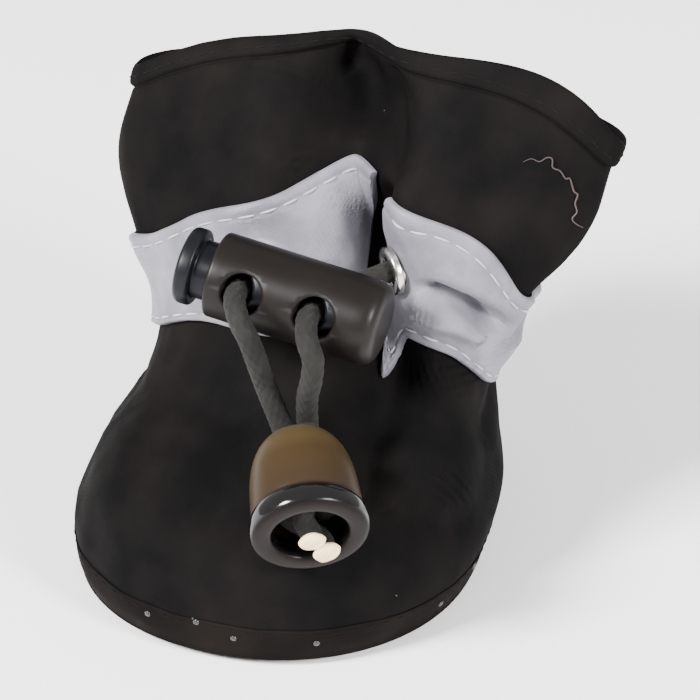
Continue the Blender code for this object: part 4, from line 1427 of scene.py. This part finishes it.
# %% The knot
# Places that each end winds through, in millimetres in the bell's own frame
KNOT = {
    "right": (
        (-1.45, 0, 9.7), (-2.4, 1.4, 7.4), (-0.9, 2.8, 5.8), (2.1, 2.0, 5.0), (2.4, -1.2, 4.4),
        (0.4, -2.3, 3.4), (-0.5, -0.8, 2.1), (0.0, 0.4, 0.9), (0.08, 0.62, -0.35),
    ),
    "left": (
        (1.45, 0, 9.7), (2.6, -1.5, 7.3), (0.6, -2.8, 6.3), (-2.3, -1.7, 5.5), (-2.5, 1.2, 4.6),
        (-0.7, 2.8, 3.5), (0.9, 3.1, 1.7), (1.42, 3.12, -0.4),
    ),
}
for side, places in KNOT.items():
    line = smooth_route([bell @ Vector([x * MM for x in place]) for place in places], 0.14 * MM)
    end = tube("knotted_end_" + side, line, braid_radius, 48)
    finish(end, "boot", "black_elastic", "elastic", "cord_knot")

    out = Vector(line[-1] - line[-4]).normalized()
    face = frame_at(line[-1], out, (1, 0, 0))
    profile = [(0, 0.4), (0.7, 0.42), (1.2, 0.36), (1.5, 0.2), (1.62, -0.06), (1.4, -0.4), (0, -0.5)]
    core = turned("cut_core_" + side, [(r * MM, h * MM) for r, h in profile], face, 48)
    for vert in core.data.vertices:
        spot = np.array(vert.co) + (0 if side == "left" else 0.01)
        vert.co *= 1 + 0.05 * float(soft_noise(spot, 0.8 * MM, 21))
    finish(core, "boot", "black_elastic", "rubber_core")
for side in ("right", "left"):
    length_of(routes[side])

# %% [markdown]
# ## A loose thread
# One pale thread has come loose on the right of the shaft. It is too short to be a cord of its own:
# it is a fine wavy tube laid on the cloth.

# %% The loose thread
LOOSE_THREAD_RADIUS = 0.11 * MM
places = (
    (45.5, 9.20), (47, 9.30), (49, 9.33), (50.5, 9.44), (52, 9.47), (53, 9.38), (55.5, 9.41),
    (58, 9.38), (59.5, 9.42), (62.5, 9.33), (64.5, 9.33), (65, 9.22), (67.5, 9.15), (67, 9.05),
    (69.5, 9.03), (75.5, 9.05),
)
degrees, station = np.array(places, float).T
spots = cloth(np.radians(degrees), station, 0.16 * MM)[0]
line = smooth_route(spots, 0.12 * MM)


def thread_radius(turns, share, length):
    """The loose thread: even along its middle and thinner at both ends."""
    inner_share = min(0.98, max(0.02, share))
    return np.full(len(turns), LOOSE_THREAD_RADIUS * math.sin(math.pi * inner_share) ** 0.3)


thread = tube("loose_thread", line, thread_radius, 8)
finish(thread, "boot", "black_cloth", "loose_thread")
print("loose thread:", round(length_of(line) / MM, 1), "mm")

# %% [markdown]
# ## Floor and light
# The floor is a plain pale sheet. Two soft lights, one above the toe on the left and one on the
# right, and a bright even sky give the flat, gentle shadows of a product photograph. The two lights
# are also what shows as a pair of bright marks on the bell's glossy ring.

# %% Floor and lights
floor_mesh = bpy.data.meshes.new("floor")
work = bmesh.new()
bmesh.ops.create_grid(work, x_segments=1, y_segments=1, size=3)
work.to_mesh(floor_mesh)
work.free()
floor = bpy.data.objects.new("floor", floor_mesh)
bpy.context.scene.collection.objects.link(floor)
pale, tree, shader = new_material("pale_floor", Roughness=0.9, Specular_IOR_Level=0.2)
shader.inputs["Base Color"].default_value = (0.94, 0.94, 0.94, 1)
floor_mesh.materials.append(pale)

LIGHTS = {
    "key": ((-0.42, -0.62, 0.62), 0.24, 34.0),
    "fill": ((0.78, -0.38, 0.50), 0.24, 20.0),
}
for name, (place, size, power) in LIGHTS.items():
    lamp = bpy.data.lights.new(name, "AREA")
    lamp.size = size
    lamp.energy = power
    light = bpy.data.objects.new(name, lamp)
    light.location = place
    light.rotation_euler = (Vector((0, 0, 0.03)) - Vector(place)).to_track_quat("-Z", "Y").to_euler()
    bpy.context.scene.collection.objects.link(light)
world = bpy.data.worlds.new("studio")
world.use_nodes = True
world.node_tree.nodes["Background"].inputs["Color"].default_value = (1, 1, 1, 1)
world.node_tree.nodes["Background"].inputs["Strength"].default_value = 0.88
bpy.context.scene.world = world
print(len(LIGHTS), "lights")
